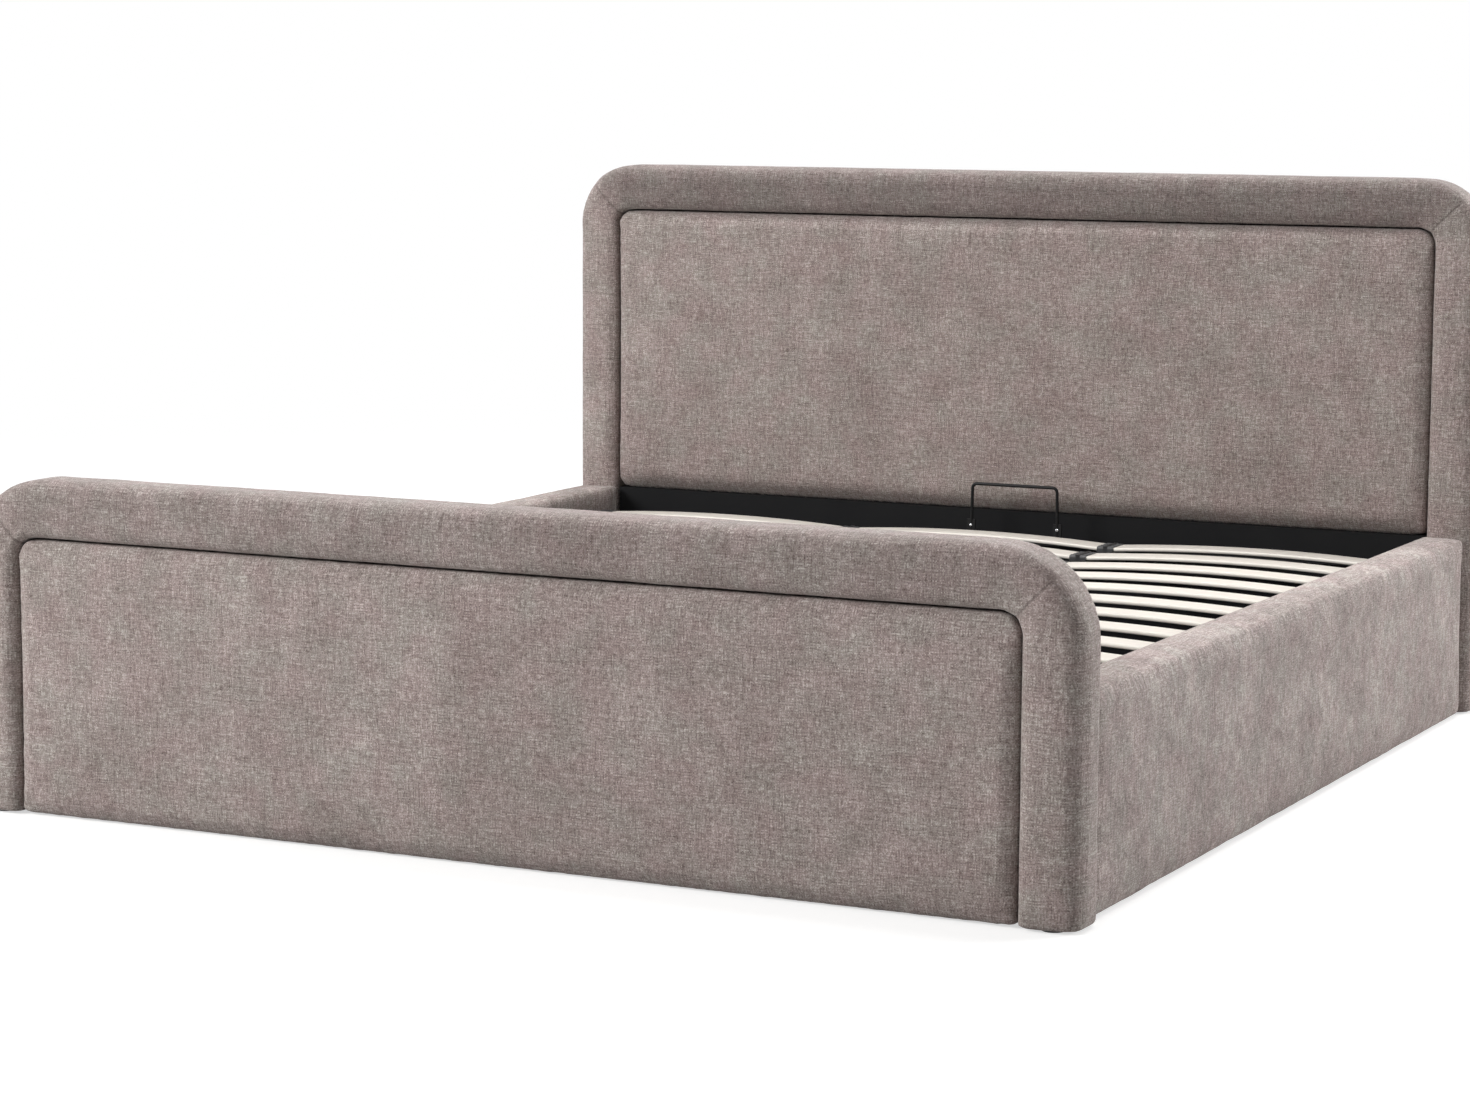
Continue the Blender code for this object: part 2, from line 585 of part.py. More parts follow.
def make_retainer():
    """Wire loop that keeps the mattress on the platform as it tips."""
    line = PLATFORM_HEAD - TUBE_WIDTH / 2
    half = RETAINER_WIDTH / 2 - RETAINER_WIRE / 2
    base = SLAT_SEAT
    top = PLATFORM_TOP + RETAINER_RISE - RETAINER_WIRE / 2
    bend = arc((half - RETAINER_SPLAY - RETAINER_BEND, top - RETAINER_BEND), RETAINER_BEND, 0, pi / 2, 5)
    right = [(half, base)] + bend
    left = [(-x, z) for x, z in reversed(right)]
    path = [(RETAINER_OFFSET + x, line, z) for x, z in right + left]
    loop = finish("mattress_retainer", sweep(path, RETAINER_WIRE / 2), steel_black, platform_axis)
    for label, side in SIDES:
        foot = Vector((RETAINER_OFFSET + side * half, line, base))
        low = foot - Vector((RETAINER_TAB_WIDTH / 2, RETAINER_TAB_THICKNESS / 2, 0))
        high = foot + Vector((RETAINER_TAB_WIDTH / 2, RETAINER_TAB_THICKNESS / 2, RETAINER_TAB_HEIGHT))
        tab = finish(f"join_tab_{label}", box(low, high), steel_black, platform_axis, smooth=False)
        join_boolean(loop, tab, "UNION")


def make_strap():
    """Webbing handle that arches over the foot tube, for a hand to go under."""
    half = STRAP_LENGTH / 2
    base = SLAT_SEAT
    inner, outer = [], []
    steps = 10
    for step in range(steps + 1):
        share = step / steps
        lift = STRAP_RISE * sin(pi * share) ** STRAP_FULLNESS
        x = -half + STRAP_LENGTH * share
        inner.append((x, base + lift))
        outer.append((x, base + STRAP_THICKNESS + lift))
    inner = [(-half - STRAP_TAIL, base)] + inner + [(half + STRAP_TAIL, base)]
    tail_top = base + STRAP_THICKNESS
    outer = [(-half - STRAP_TAIL, tail_top)] + outer + [(half + STRAP_TAIL, tail_top)]
    start = PLATFORM_FOOT + (TUBE_WIDTH - STRAP_WIDTH) / 2
    data = prism(inner + outer[::-1], start, start + STRAP_WIDTH, "Y")
    finish("lift_strap", data, strap_webbing, platform_axis)


def make_hinge_plate(label, side):
    """Steel plate on the rail that carries the pivot bolt and the strut's base pin."""
    low_y = STRUT_BASE.y - PLATE_MARGIN
    high_y = PIVOT.y + PLATE_MARGIN
    low_z = STRUT_BASE.z - PLATE_MARGIN
    high_z = PIVOT.z + PLATE_MARGIN
    outline = [
        (low_y, low_z), (STRUT_BASE.y + PLATE_MARGIN, low_z), (high_y, PIVOT.z - PLATE_MARGIN),
        (high_y, high_z), (PIVOT.y - PLATE_MARGIN, high_z), (low_y, STRUT_BASE.z + PLATE_MARGIN),
    ]
    start, end = sorted((side * PLATE_INNER, side * RAIL_FACE))
    plate = finish(f"hinge_plate_{label}", prism(outline, start, end, "X"), steel_zinc, smooth=False)
    boss_start = PLATFORM_HALF + SEAT_GAP
    boss_end = PLATE_INNER + PLATE_THICKNESS / 2
    round_tool(plate, f"join_boss_{label}", "UNION", side, boss_start, boss_end, PIVOT, PLATE_BOSS_RADIUS)
    start = boss_start - CUT_OVERRUN
    end = RAIL_FACE + CUT_OVERRUN
    for name, place, radius in (("pivot", PIVOT, PIVOT_RADIUS), ("base", STRUT_BASE, STRUT_PIN_RADIUS)):
        bore = radius + RUN_GAP
        round_tool(plate, f"cut_plate_{name}_{label}", "DIFFERENCE", side, start, end, place, bore)


def make_pins(label, side):
    """Pivot bolt, base pin and top pin of one side, each turned in one piece."""
    head_start = TUBE_INNER - SEAT_GAP - PIVOT_HEAD_THICKNESS
    shank = RAIL_FACE - head_start
    head = PIVOT_HEAD_THICKNESS
    profile = [(0, 0), (PIVOT_HEAD_RADIUS, 0), (PIVOT_HEAD_RADIUS, head), (PIVOT_RADIUS, head),
               (PIVOT_RADIUS, shank), (0, shank)]
    finish(f"pivot_bolt_{label}", lathe(profile, across(side, head_start, PIVOT)), steel_zinc)
    eye_start = STRUT_PLANE - STRUT_EYE_WIDTH / 2
    head_start = eye_start - SEAT_GAP - STRUT_PIN_HEAD_THICKNESS
    head = STRUT_PIN_HEAD_THICKNESS
    collar = STRUT_PLANE + STRUT_EYE_WIDTH / 2 + SEAT_GAP - head_start
    for name, place, seat, end, parent in (
        ("strut_base_pin", STRUT_BASE, PLATE_INNER - SEAT_GAP, RAIL_FACE, None),
        ("strut_top_pin", STRUT_TOP, TUBE_INNER - SEAT_GAP, PLATFORM_HALF, platform_axis),
    ):
        seat -= head_start
        end -= head_start
        profile = [(0, 0), (STRUT_PIN_HEAD, 0), (STRUT_PIN_HEAD, head), (STRUT_PIN_RADIUS, head),
                   (STRUT_PIN_RADIUS, collar), (STRUT_PIN_HEAD, collar), (STRUT_PIN_HEAD, seat),
                   (STRUT_PIN_RADIUS, seat), (STRUT_PIN_RADIUS, end), (0, end)]
        finish(f"{name}_{label}", lathe(profile, across(side, head_start, place)), steel_zinc, parent)


def add_eye(strut, name, side, centre):
    """Round eye at a strut's end, with the bore that its pin goes through."""
    start = STRUT_PLANE - STRUT_EYE_WIDTH / 2
    end = STRUT_PLANE + STRUT_EYE_WIDTH / 2
    round_tool(strut, f"join_{name}", "UNION", side, start, end, centre, STRUT_EYE_RADIUS)
    start -= CUT_OVERRUN
    end += CUT_OVERRUN
    round_tool(strut, f"cut_{name}", "DIFFERENCE", side, start, end, centre, STRUT_PIN_RADIUS + RUN_GAP)


def make_strut(label, side):
    """Gas strut: a barrel on the hinge plate and a rod on the platform tube."""
    along = (STRUT_TOP - STRUT_BASE).normalized()
    lean = Vector((0, 0, 1)).rotation_difference(along).to_matrix().to_4x4()
    offset = Vector((side * STRUT_PLANE, 0, 0))
    base_axis = empty(f"strut_base_axis_{label}", STRUT_BASE + offset)
    top_axis = empty(f"strut_top_axis_{label}", STRUT_TOP + offset, platform_axis)
    placed = Matrix.Translation(STRUT_BASE + offset) @ lean
    bore = ROD_RADIUS + RUN_GAP
    bore_floor = CYLINDER_START + CYLINDER_FLOOR
    profile = [(0, 0), (CYLINDER_NECK_RADIUS, 0), (CYLINDER_NECK_RADIUS, CYLINDER_START),
               (CYLINDER_RADIUS, CYLINDER_START), (CYLINDER_RADIUS, CYLINDER_END), (bore, CYLINDER_END),
               (bore, bore_floor), (0, bore_floor)]
    barrel = finish(f"strut_cylinder_{label}", lathe(profile, placed), steel_black, base_axis)
    add_eye(barrel, f"base_eye_{label}", side, STRUT_BASE)
    start = STRUT_CLOSED - ROD_LENGTH
    profile = [(0, start), (ROD_RADIUS, start), (ROD_RADIUS, STRUT_CLOSED), (0, STRUT_CLOSED)]
    rod = finish(f"strut_rod_{label}", lathe(profile, placed), steel_bright, top_axis)
    add_eye(rod, f"top_eye_{label}", side, STRUT_TOP)


for leftover in list(bpy.data.objects):
    bpy.data.objects.remove(leftover)

cover_cloth = material("taupe chenille", (0.301, 0.258, 0.238), 0.9)
black_lining = material("black lining", (0.012, 0.012, 0.013), 0.8)
bare_timber = material("bare pine", (0.55, 0.40, 0.24), 0.6)
base_board = material("black base board", (0.022, 0.022, 0.023), 0.7)
pale_birch = material("whitewashed birch", (0.86, 0.82, 0.74), 0.45)
strap_webbing = material("black webbing", (0.02, 0.02, 0.022), 0.8)
plastic_black = material("black plastic", (0.015, 0.015, 0.016), 0.5)
steel_black = material("black powder-coated steel", (0.018, 0.018, 0.020), 0.45)
steel_zinc = material("zinc-plated steel", (0.62, 0.62, 0.63), 0.35, 1.0)
steel_bright = material("chromed rod", (0.75, 0.75, 0.76), 0.12, 1.0)

platform_axis = empty("platform_axis", PIVOT)

make_boards()
make_storage_base()
make_feet_and_brackets()
make_platform_frame()
make_slats()
make_retainer()
make_strap()
for side_label, side_sign in SIDES:
    make_side_rail(side_label, side_sign)
    make_ledgers(side_label, side_sign)
    make_hinge_plate(side_label, side_sign)
    make_pins(side_label, side_sign)
    make_strut(side_label, side_sign)
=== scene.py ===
"""Looks of an upholstered storage bed with a slatted platform that lifts at the foot.

Metres, +Z up, +Y towards the headboard, origin on the floor under the middle of the bed.
"""

import json
from math import cos, exp, hypot, pi, radians, sin

import bmesh
import bpy
from mathutils import Matrix, Vector, noise


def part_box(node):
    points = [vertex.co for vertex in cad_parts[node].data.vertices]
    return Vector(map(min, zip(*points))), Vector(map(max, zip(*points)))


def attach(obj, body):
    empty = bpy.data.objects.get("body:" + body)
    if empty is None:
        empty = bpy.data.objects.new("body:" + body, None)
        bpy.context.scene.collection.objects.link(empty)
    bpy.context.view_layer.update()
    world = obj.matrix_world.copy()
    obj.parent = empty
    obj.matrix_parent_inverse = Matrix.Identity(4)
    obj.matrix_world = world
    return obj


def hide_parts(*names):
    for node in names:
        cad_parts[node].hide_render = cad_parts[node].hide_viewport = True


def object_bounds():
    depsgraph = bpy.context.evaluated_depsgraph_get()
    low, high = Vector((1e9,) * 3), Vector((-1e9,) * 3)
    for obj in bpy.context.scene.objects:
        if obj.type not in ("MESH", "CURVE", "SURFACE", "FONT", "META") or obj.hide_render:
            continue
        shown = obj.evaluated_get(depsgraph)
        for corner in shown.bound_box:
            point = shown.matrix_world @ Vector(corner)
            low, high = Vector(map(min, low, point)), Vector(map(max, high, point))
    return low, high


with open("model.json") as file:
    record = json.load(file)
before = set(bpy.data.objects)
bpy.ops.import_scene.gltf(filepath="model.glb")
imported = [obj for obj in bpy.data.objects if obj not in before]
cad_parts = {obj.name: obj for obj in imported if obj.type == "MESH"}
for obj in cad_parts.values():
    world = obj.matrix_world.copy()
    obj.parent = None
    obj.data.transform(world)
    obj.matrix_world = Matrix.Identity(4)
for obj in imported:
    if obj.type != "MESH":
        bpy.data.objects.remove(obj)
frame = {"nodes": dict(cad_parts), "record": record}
cad_low, cad_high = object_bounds()

MM = 0.001
X, Y, Z = 0, 1, 2
SIDES = (("left", -1), ("right", 1))


# Modelling by hand: pick in edit mode, then use an operator

def settle():
    """Object mode with nothing selected."""
    active = bpy.context.view_layer.objects.active
    if active is not None and active.mode != "OBJECT":
        bpy.ops.object.mode_set(mode="OBJECT")
    bpy.ops.object.select_all(action="DESELECT")


def take(obj):
    """Selects one object alone and makes it active."""
    settle()
    obj.select_set(True)
    bpy.context.view_layer.objects.active = obj


def place_in_mesh(obj):
    """Puts the object's place, turn and scale into its mesh."""
    take(obj)
    bpy.ops.object.transform_apply(location=True, rotation=True, scale=True)
    return obj


def cube(name, low, high):
    """A cube stretched between two corners."""
    low, high = Vector(low), Vector(high)
    settle()
    bpy.ops.mesh.primitive_cube_add(size=1, location=(low + high) / 2)
    obj = bpy.context.object
    obj.name = name
    obj.scale = high - low
    return place_in_mesh(obj)


def cylinder(name, radius, depth, centre, sides):
    """An upright cylinder at its size and place."""
    settle()
    bpy.ops.mesh.primitive_cylinder_add(vertices=sides, radius=radius, depth=depth, location=centre)
    obj = bpy.context.object
    obj.name = name
    return place_in_mesh(obj)


def pick(obj, kind, wanted):
    """Edit mode with the vertices, edges or faces picked that wanted says yes to."""
    take(obj)
    bpy.ops.object.mode_set(mode="EDIT")
    bpy.ops.mesh.select_mode(type=kind)
    bpy.ops.mesh.select_all(action="DESELECT")
    bm = bmesh.from_edit_mesh(obj.data)
    bm.normal_update()
    things = {"VERT": bm.verts, "EDGE": bm.edges, "FACE": bm.faces}[kind]
    chosen = [thing for thing in things if wanted(thing)]
    for thing in chosen:
        thing.select_set(True)
    bm.select_flush_mode()
    bmesh.update_edit_mesh(obj.data)
    return len(chosen)


def pick_all(obj):
    """Edit mode with every face picked."""
    pick(obj, "FACE", lambda face: True)


def done():
    """Back to object mode."""
    bpy.ops.object.mode_set(mode="OBJECT")


def round_edges(obj, wanted, radius, steps):
    """Bevels the picked edges."""
    if pick(obj, "EDGE", wanted):
        bpy.ops.mesh.bevel(offset=radius, offset_type="OFFSET", segments=steps, affect="EDGES")
    done()


def make_right_way_round(obj):
    """Merges doubles and turns all faces outwards."""
    pick_all(obj)
    bpy.ops.mesh.remove_doubles(threshold=0.00001)
    bpy.ops.mesh.normals_make_consistent(inside=False)
    done()


def modify(obj, kind, **settings):
    """Adds a modifier and applies it."""
    take(obj)
    modifier = obj.modifiers.new(kind.lower(), kind)
    for key, value in settings.items():
        setattr(modifier, key, value)
    bpy.ops.object.modifier_apply(modifier=modifier.name)


def cut_away(obj, tool):
    """Cuts the tool's shape out of obj."""
    modify(obj, "BOOLEAN", operation="DIFFERENCE", solver="EXACT", object=tool)
    bpy.data.objects.remove(tool)


def shade(obj, degrees=None):
    """Smooth shading, split at edges sharper than the angle if one is given."""
    take(obj)
    if degrees is None:
        bpy.ops.object.shade_smooth()
    else:
        bpy.ops.object.shade_smooth_by_angle(angle=radians(degrees))


def copy_to(obj, name, offset):
    """A copy with its own mesh, moved by the offset."""
    twin = obj.copy()
    twin.data = obj.data.copy()
    twin.name = name
    bpy.context.scene.collection.objects.link(twin)
    twin.data.transform(Matrix.Translation(offset))
    return twin


def join(name, parts):
    """Joins the parts into one piece."""
    settle()
    for part in parts:
        part.select_set(True)
    bpy.context.view_layer.objects.active = parts[0]
    bpy.ops.object.join()
    obj = bpy.context.object
    obj.name = name
    return obj


def near(a, b):
    """Whether two lengths are within half a millimetre."""
    return abs(a - b) < 0.5 * MM


def middle(thing):
    """Middle of an edge or face."""
    return sum((v.co for v in thing.verts), Vector()) / len(thing.verts)


def lies_at(edge, axis, value):
    """Whether both ends of an edge have this value on the axis."""
    return all(near(v.co[axis], value) for v in edge.verts)


def run_along(edge, axis):
    """How far an edge runs along the axis."""
    return abs(edge.verts[0].co[axis] - edge.verts[1].co[axis])


def slice_at(obj, axis, places):
    """Cuts the mesh right across the axis at each place, so that it can bend there."""
    across = Vector((0, 0, 0))
    across[axis] = 1
    for place in places:
        pick_all(obj)
        bpy.ops.mesh.bisect(plane_co=across * place, plane_no=across)
        done()


def spread(obj, moved):
    """Moves each vertex by what moved says for its place and normal."""
    normals = [v.normal.copy() for v in obj.data.vertices]
    for vertex, normal in zip(obj.data.vertices, normals):
        vertex.co += moved(vertex.co.copy(), normal)
    obj.data.update()


def lay_cloth_map(obj):
    """A UV map in metres, with threads along the piece's own edges on every side."""
    pick_all(obj)
    bpy.ops.uv.cube_project(cube_size=1.0, correct_aspect=False, scale_to_bounds=False)
    done()
    obj.data.uv_layers.active.name = "cloth"


# Cloth over foam

SWELL_FRAMES = 20
COVER_TENSION = 12       # how hard the cover is to stretch and to squash
COVER_BENDING = 2


def swell(obj, held, voxel, pressure, cap):
    """The foam pushes its cover out: even quads, then cloth under pressure, no point moving past the cap.

    Held says which points the cover is stapled at.
    """
    modify(obj, "REMESH", mode="VOXEL", voxel_size=voxel, use_smooth_shade=True)
    modify(obj, "SMOOTH", factor=0.5, iterations=4)
    before = [v.co.copy() for v in obj.data.vertices]
    group = obj.vertex_groups.new(name="held")
    group.add([v.index for v in obj.data.vertices if held(v.co)], 1.0, "REPLACE")
    take(obj)
    cover = obj.modifiers.new("cloth", "CLOTH")
    cover.settings.quality = 1
    cover.settings.use_pressure = True
    cover.settings.uniform_pressure_force = pressure
    cover.settings.tension_stiffness = COVER_TENSION
    cover.settings.compression_stiffness = COVER_TENSION
    cover.settings.bending_stiffness = COVER_BENDING
    cover.settings.vertex_group_mass = "held"
    cover.settings.effector_weights.gravity = 0
    cover.collision_settings.use_collision = False
    for step in range(1, SWELL_FRAMES + 1):
        bpy.context.scene.frame_set(step)
    bpy.ops.object.modifier_apply(modifier=cover.name)
    bpy.context.scene.frame_set(1)
    for vertex, start in zip(obj.data.vertices, before):
        moved = vertex.co - start
        if moved.length > cap:
            vertex.co = start + moved * (cap / moved.length)
    obj.vertex_groups.clear()


# Node materials

def paint(code):
    """Linear colour of an sRGB hex value."""
    parts = [int(code[i:i + 2], 16) / 255 for i in (1, 3, 5)]
    return [c / 12.92 if c <= 0.04045 else ((c + 0.055) / 1.055) ** 2.4 for c in parts] + [1.0]


def add(tree, kind, settings=None, links=None):
    """Adds one node with its settings, and links what is given into its inputs."""
    node = tree.nodes.new("ShaderNode" + kind)
    for key, value in (settings or {}).items():
        if key == "stops":
            ramp = node.color_ramp
            while len(ramp.elements) < len(value):
                ramp.elements.new(0.5)
            for element, (place, colour) in zip(ramp.elements, value):
                element.position, element.color = place, colour
        elif isinstance(key, int) or key in node.inputs:
            node.inputs[key].default_value = value
        else:
            setattr(node, key, value)
    for key, socket in (links or {}).items():
        tree.links.new(socket, node.inputs[key])
    return node


def times(tree, socket, factor, plus=None):
    """A socket times a number, plus another socket if one is given."""
    if plus is None:
        return add(tree, "Math", {"operation": "MULTIPLY", 1: factor}, {0: socket}).outputs[0]
    return add(tree, "Math", {"operation": "MULTIPLY_ADD", 1: factor}, {0: socket, 2: plus}).outputs[0]


def product(tree, one, other):
    """Two sockets multiplied."""
    return add(tree, "Math", {"operation": "MULTIPLY"}, {0: one, 1: other}).outputs[0]


def start_material(name, rough, metallic=0.0, **shader):
    """A Principled material: its tree, its shader and its coordinates."""
    material = bpy.data.materials.new(name)
    material.use_nodes = True
    tree = material.node_tree
    tree.nodes.clear()
    settings = {"Roughness": rough, "Metallic": metallic}
    settings.update({key.replace("_", " "): value for key, value in shader.items()})
    skin = add(tree, "BsdfPrincipled", settings)
    add(tree, "OutputMaterial", None, {"Surface": skin.outputs["BSDF"]})
    return material, tree, skin, add(tree, "TexCoord")


def finish_material(tree, skin, colour, height, depth, strength, rough=None):
    """Links the colour, the bump and the roughness that the pattern gives."""
    tree.links.new(colour, skin.inputs["Base Color"])
    bump = add(tree, "Bump", {"Strength": strength, "Distance": depth}, {"Height": height})
    tree.links.new(bump.outputs["Normal"], skin.inputs["Normal"])
    if rough is not None:
        tree.links.new(rough, skin.inputs["Roughness"])


FLECK = 2.3 * MM          # width of one chenille yarn as it shows, drawn coarser than the real 1.6 mm
PILE = 1.6 * MM           # size of the tufts of pile on a yarn
SLUB = 15 * MM            # length of a thick or thin place along a yarn
STREAK = 5 * MM           # width of the streaks where a run of thicker yarns lies
DYE = 55 * MM             # size of the places where the mixed yarns lean to pink or to green
MOTTLE = 130 * MM         # size of the pale and dark patches that brushing leaves
TONE_SPAN = 0.63          # how far the tone may wander to each side of its middle
SEAM_PULL = 3.4 * MM      # how far a sewn mitre pulls the cloth in, on each side
SEAM_SHADE = 0.48         # how dark the painted shade in its crease is
SEAM_DEPTH = 1.3          # how deep it is drawn, beside the yarns' own height
STRIP_SHADE_REACH = 55 * MM      # how far from a mitre the painted shade of the top strip still fades in

# How the cloth is brushed: the length of its streaks; how far those up the cloth, those across it and the
# patches change the tone; how ragged the patches are; and the tone's middle. Rails are brushed up and down.
BOARD_BRUSH = {"streak": 80 * MM, "upright": 0.42, "level": 0.42, "patches": 0.55, "rough": 0.72, "middle": 1.77}
RAIL_BRUSH = {"streak": 40 * MM, "upright": 0.75, "level": 0.2, "patches": 1.25, "rough": 0.85, "middle": 2.17}


def woven_yarns(tree, cloth):
    """Plain weave: a slubby weft or warp by turns. Gives the threads alone, and with each yarn's own tone."""
    slubs = {"Scale": 1.0, "Detail": 2.0, "Roughness": 0.7}
    along = add(tree, "Mapping", {"Scale": (1 / SLUB, 1 / FLECK, 1)}, {"Vector": cloth})
    across = add(tree, "Mapping", {"Scale": (1 / FLECK, 1 / SLUB, 1)}, {"Vector": cloth})
    weft = add(tree, "TexNoise", slubs, {"Vector": along.outputs[0]})
    warp = add(tree, "TexNoise", slubs, {"Vector": across.outputs[0]})
    over = add(tree, "TexChecker", {"Scale": 1 / FLECK}, {"Vector": cloth})
    woven = add(tree, "Mix", {"data_type": "FLOAT"},
                {0: over.outputs["Fac"], 2: weft.outputs["Fac"], 3: warp.outputs["Fac"]})
    threads = times(tree, woven.outputs[0], 1.9)
    yarns = add(tree, "TexVoronoi", {"distance": "CHEBYCHEV", "Scale": 1 / FLECK, "Randomness": 0.65},
                {"Vector": cloth})
    tone = add(tree, "SeparateColor", None, {"Color": yarns.outputs["Color"]})
    return threads, times(tree, tone.outputs["Red"], 0.28, threads)


def brushed_tone(tree, tone, cloth, solid, brush):
    """What brushing adds: streaks up and across the cloth, and broad pale and dark patches."""
    width, length = 1 / STREAK, 1 / brush["streak"]
    for scale, share in (((width, length, 1), brush["upright"]), ((length, width, 1), brush["level"])):
        laid = add(tree, "Mapping", {"Scale": scale}, {"Vector": cloth})
        streaks = add(tree, "TexNoise", {"Scale": 1.0, "Detail": 2.0, "Roughness": 0.6},
                      {"Vector": laid.outputs[0]})
        tone = times(tree, streaks.outputs["Fac"], share, tone)
    patches = add(tree, "TexNoise", {"Scale": 1 / MOTTLE, "Detail": 6.0, "Roughness": brush["rough"]},
                  {"Vector": solid})
    tone = times(tree, patches.outputs["Fac"], brush["patches"], tone)
    level = add(tree, "MapRange", {"From Min": brush["middle"] - TONE_SPAN, "From Max": brush["middle"] + TONE_SPAN},
                {"Value": tone})
    return level.outputs[0]


def sewn_mitre(tree, parts, line, colour, height):
    """A line pulled into the cloth, its crease darkened by painted shade. Gives the new colour and height, and how
    far a point lies above it.
    """
    (x0, z0), (x1, z1) = line
    length = hypot(x1 - x0, z1 - z0)
    nx, nz = (z1 - z0) / length, (x0 - x1) / length
    side = add(tree, "Math", {"operation": "MULTIPLY_ADD", 1: nx, 2: -nx * x0 - nz * z0},
               {0: parts.outputs["X"]})
    off = times(tree, parts.outputs["Z"], nz, side.outputs[0])
    above = add(tree, "MapRange", {"From Min": -STRIP_SHADE_REACH, "From Max": STRIP_SHADE_REACH,
                                   "To Min": float(nz < 0), "To Max": float(nz > 0)},
                {"Value": off})
    gap = add(tree, "Math", {"operation": "ABSOLUTE"}, {0: off})
    pull = add(tree, "MapRange", {"From Min": 0.0, "From Max": SEAM_PULL, "To Min": 1.0, "To Max": 0.0},
               {"Value": gap.outputs[0]})
    in_x, in_z = [
        add(tree, "Math", {"operation": "COMPARE", 1: (start + end) / 2, 2: abs(start - end) / 2 + 4 * MM},
            {0: parts.outputs[axis]}) for axis, start, end in (("X", x0, x1), ("Z", z0, z1))]
    seam = product(tree, pull.outputs[0], product(tree, in_z.outputs[0], in_x.outputs[0]))
    # Painted shade in the seam's crease: the cloth is darkened towards a deep taupe along the line.
    dark = add(tree, "Mix", {"data_type": "RGBA", "blend_type": "MIX", 7: paint("#5c504b")},
               {0: times(tree, seam, SEAM_SHADE), 6: colour})
    return dark.outputs[2], times(tree, seam, -SEAM_DEPTH, height), above.outputs[0]


def chenille(name, mitres=(), strip_shade=1.0, brush=BOARD_BRUSH):
    """Woven polyester chenille: short pile yarns in taupe, pale and dark, brushed into soft patches.

    The pile scatters light at its edges, so rolled edges look soft. Mitres are two sewn seams, each given as
    two points in the board's own upright plane. The strip between them is cut across the cloth, its pile leaning
    away from the light; that is drawn as painted shade, which darkens the strip's colour by the factor given after
    the mitres.
    """
    material, tree, skin, place = start_material(
        name, 0.92, Sheen_Weight=0.18, Sheen_Roughness=0.45, Specular_IOR_Level=0.2)
    cloth, solid = place.outputs["UV"], place.outputs["Object"]
    threads, flecked = woven_yarns(tree, cloth)
    ramp = add(tree, "ValToRGB", {"stops": [
        (0.10, paint("#5d5250")), (0.38, paint("#8c807e")), (0.60, paint("#a59b99")),
        (0.90, paint("#d8d1cf"))]}, {"Fac": brushed_tone(tree, flecked, cloth, solid, brush)})
    dye = add(tree, "TexNoise", {"Scale": 1 / DYE, "Detail": 2.0}, {"Vector": solid})
    tint = add(tree, "ValToRGB", {"stops": [(0.34, paint("#f8f0ed")), (0.66, paint("#f2f3ed"))]},
               {"Fac": dye.outputs["Fac"]})
    tinted = add(tree, "Mix", {"data_type": "RGBA", "blend_type": "MULTIPLY", 0: 1.0},
                 {6: ramp.outputs["Color"], 7: tint.outputs["Color"]})
    colour = tinted.outputs[2]
    pile = add(tree, "TexNoise", {"Scale": 1 / PILE, "Detail": 1.0}, {"Vector": solid})
    height = times(tree, pile.outputs["Fac"], 0.5, threads)
    if mitres:
        parts = add(tree, "SeparateXYZ", None, {"Vector": solid})
        above = []
        for line in mitres:
            colour, height, top_side = sewn_mitre(tree, parts, line, colour, height)
            above.append(top_side)
        # Painted shade: the top strip between the mitres is darkened, standing in for its pile turned away from the
        # light.
        strip_shaded = add(tree, "Mix", {"data_type": "RGBA", "blend_type": "MULTIPLY", 7: (strip_shade, strip_shade, strip_shade, 1)},
                   {0: product(tree, *above), 6: colour})
        colour = strip_shaded.outputs[2]
    finish_material(tree, skin, colour, height, depth=1.1 * MM, strength=0.75)
    return material


def birch():
    """Laminated birch under a white wash, its grain only faint, with a painted highlight that makes the long edges
    paler.
    """
    material, tree, skin, place = start_material("whitewashed birch laminate", 0.5, Coat_Weight=0.06,
                                                 Coat_Roughness=0.4, Specular_IOR_Level=0.25)
    grain = add(tree, "Mapping", {"Scale": (1 / (220 * MM), 1 / (4.5 * MM), 1 / (4.5 * MM))},
                {"Vector": place.outputs["Object"]})
    streaks = add(tree, "TexNoise", {"Scale": 1.0, "Detail": 3.0, "Roughness": 0.65, "Distortion": 0.4},
                  {"Vector": grain.outputs[0]})
    ramp = add(tree, "ValToRGB", {"stops": [
        (0.30, paint("#bcb6ae")), (0.48, paint("#c1bbb3")), (0.70, paint("#c6c0b8"))]},
        {"Fac": streaks.outputs["Fac"]})
    marks = add(tree, "TexVoronoi", {"Scale": 1 / (95 * MM), "Randomness": 1.0},
                {"Vector": place.outputs["Object"]})
    mark = add(tree, "MapRange", {"From Min": 0.02, "From Max": 0.05, "To Min": 0.35, "To Max": 0.0},
               {"Value": marks.outputs["Distance"]})
    marked = add(tree, "Mix", {"data_type": "RGBA", 7: paint("#9c9486")},
                 {0: mark.outputs[0], 6: ramp.outputs["Color"]})
    # Painted highlight: faces turned along Y, the slats' long edges, are lifted towards near-white, as if lit as
    # well as their tops.
    facing = add(tree, "SeparateXYZ", None, {"Vector": place.outputs["Normal"]})
    sideways = add(tree, "Math", {"operation": "ABSOLUTE"}, {0: facing.outputs["Y"]})
    gathered = add(tree, "MapRange", {"From Min": 0.45, "From Max": 0.95}, {"Value": sideways.outputs[0]})
    edge_lit = add(tree, "Mix", {"data_type": "RGBA", 7: paint("#f2ece3")},
                {0: gathered.outputs[0], 6: marked.outputs[2]})
    finish_material(tree, skin, edge_lit.outputs[2], streaks.outputs["Fac"], depth=0.15 * MM, strength=0.5)
    return material


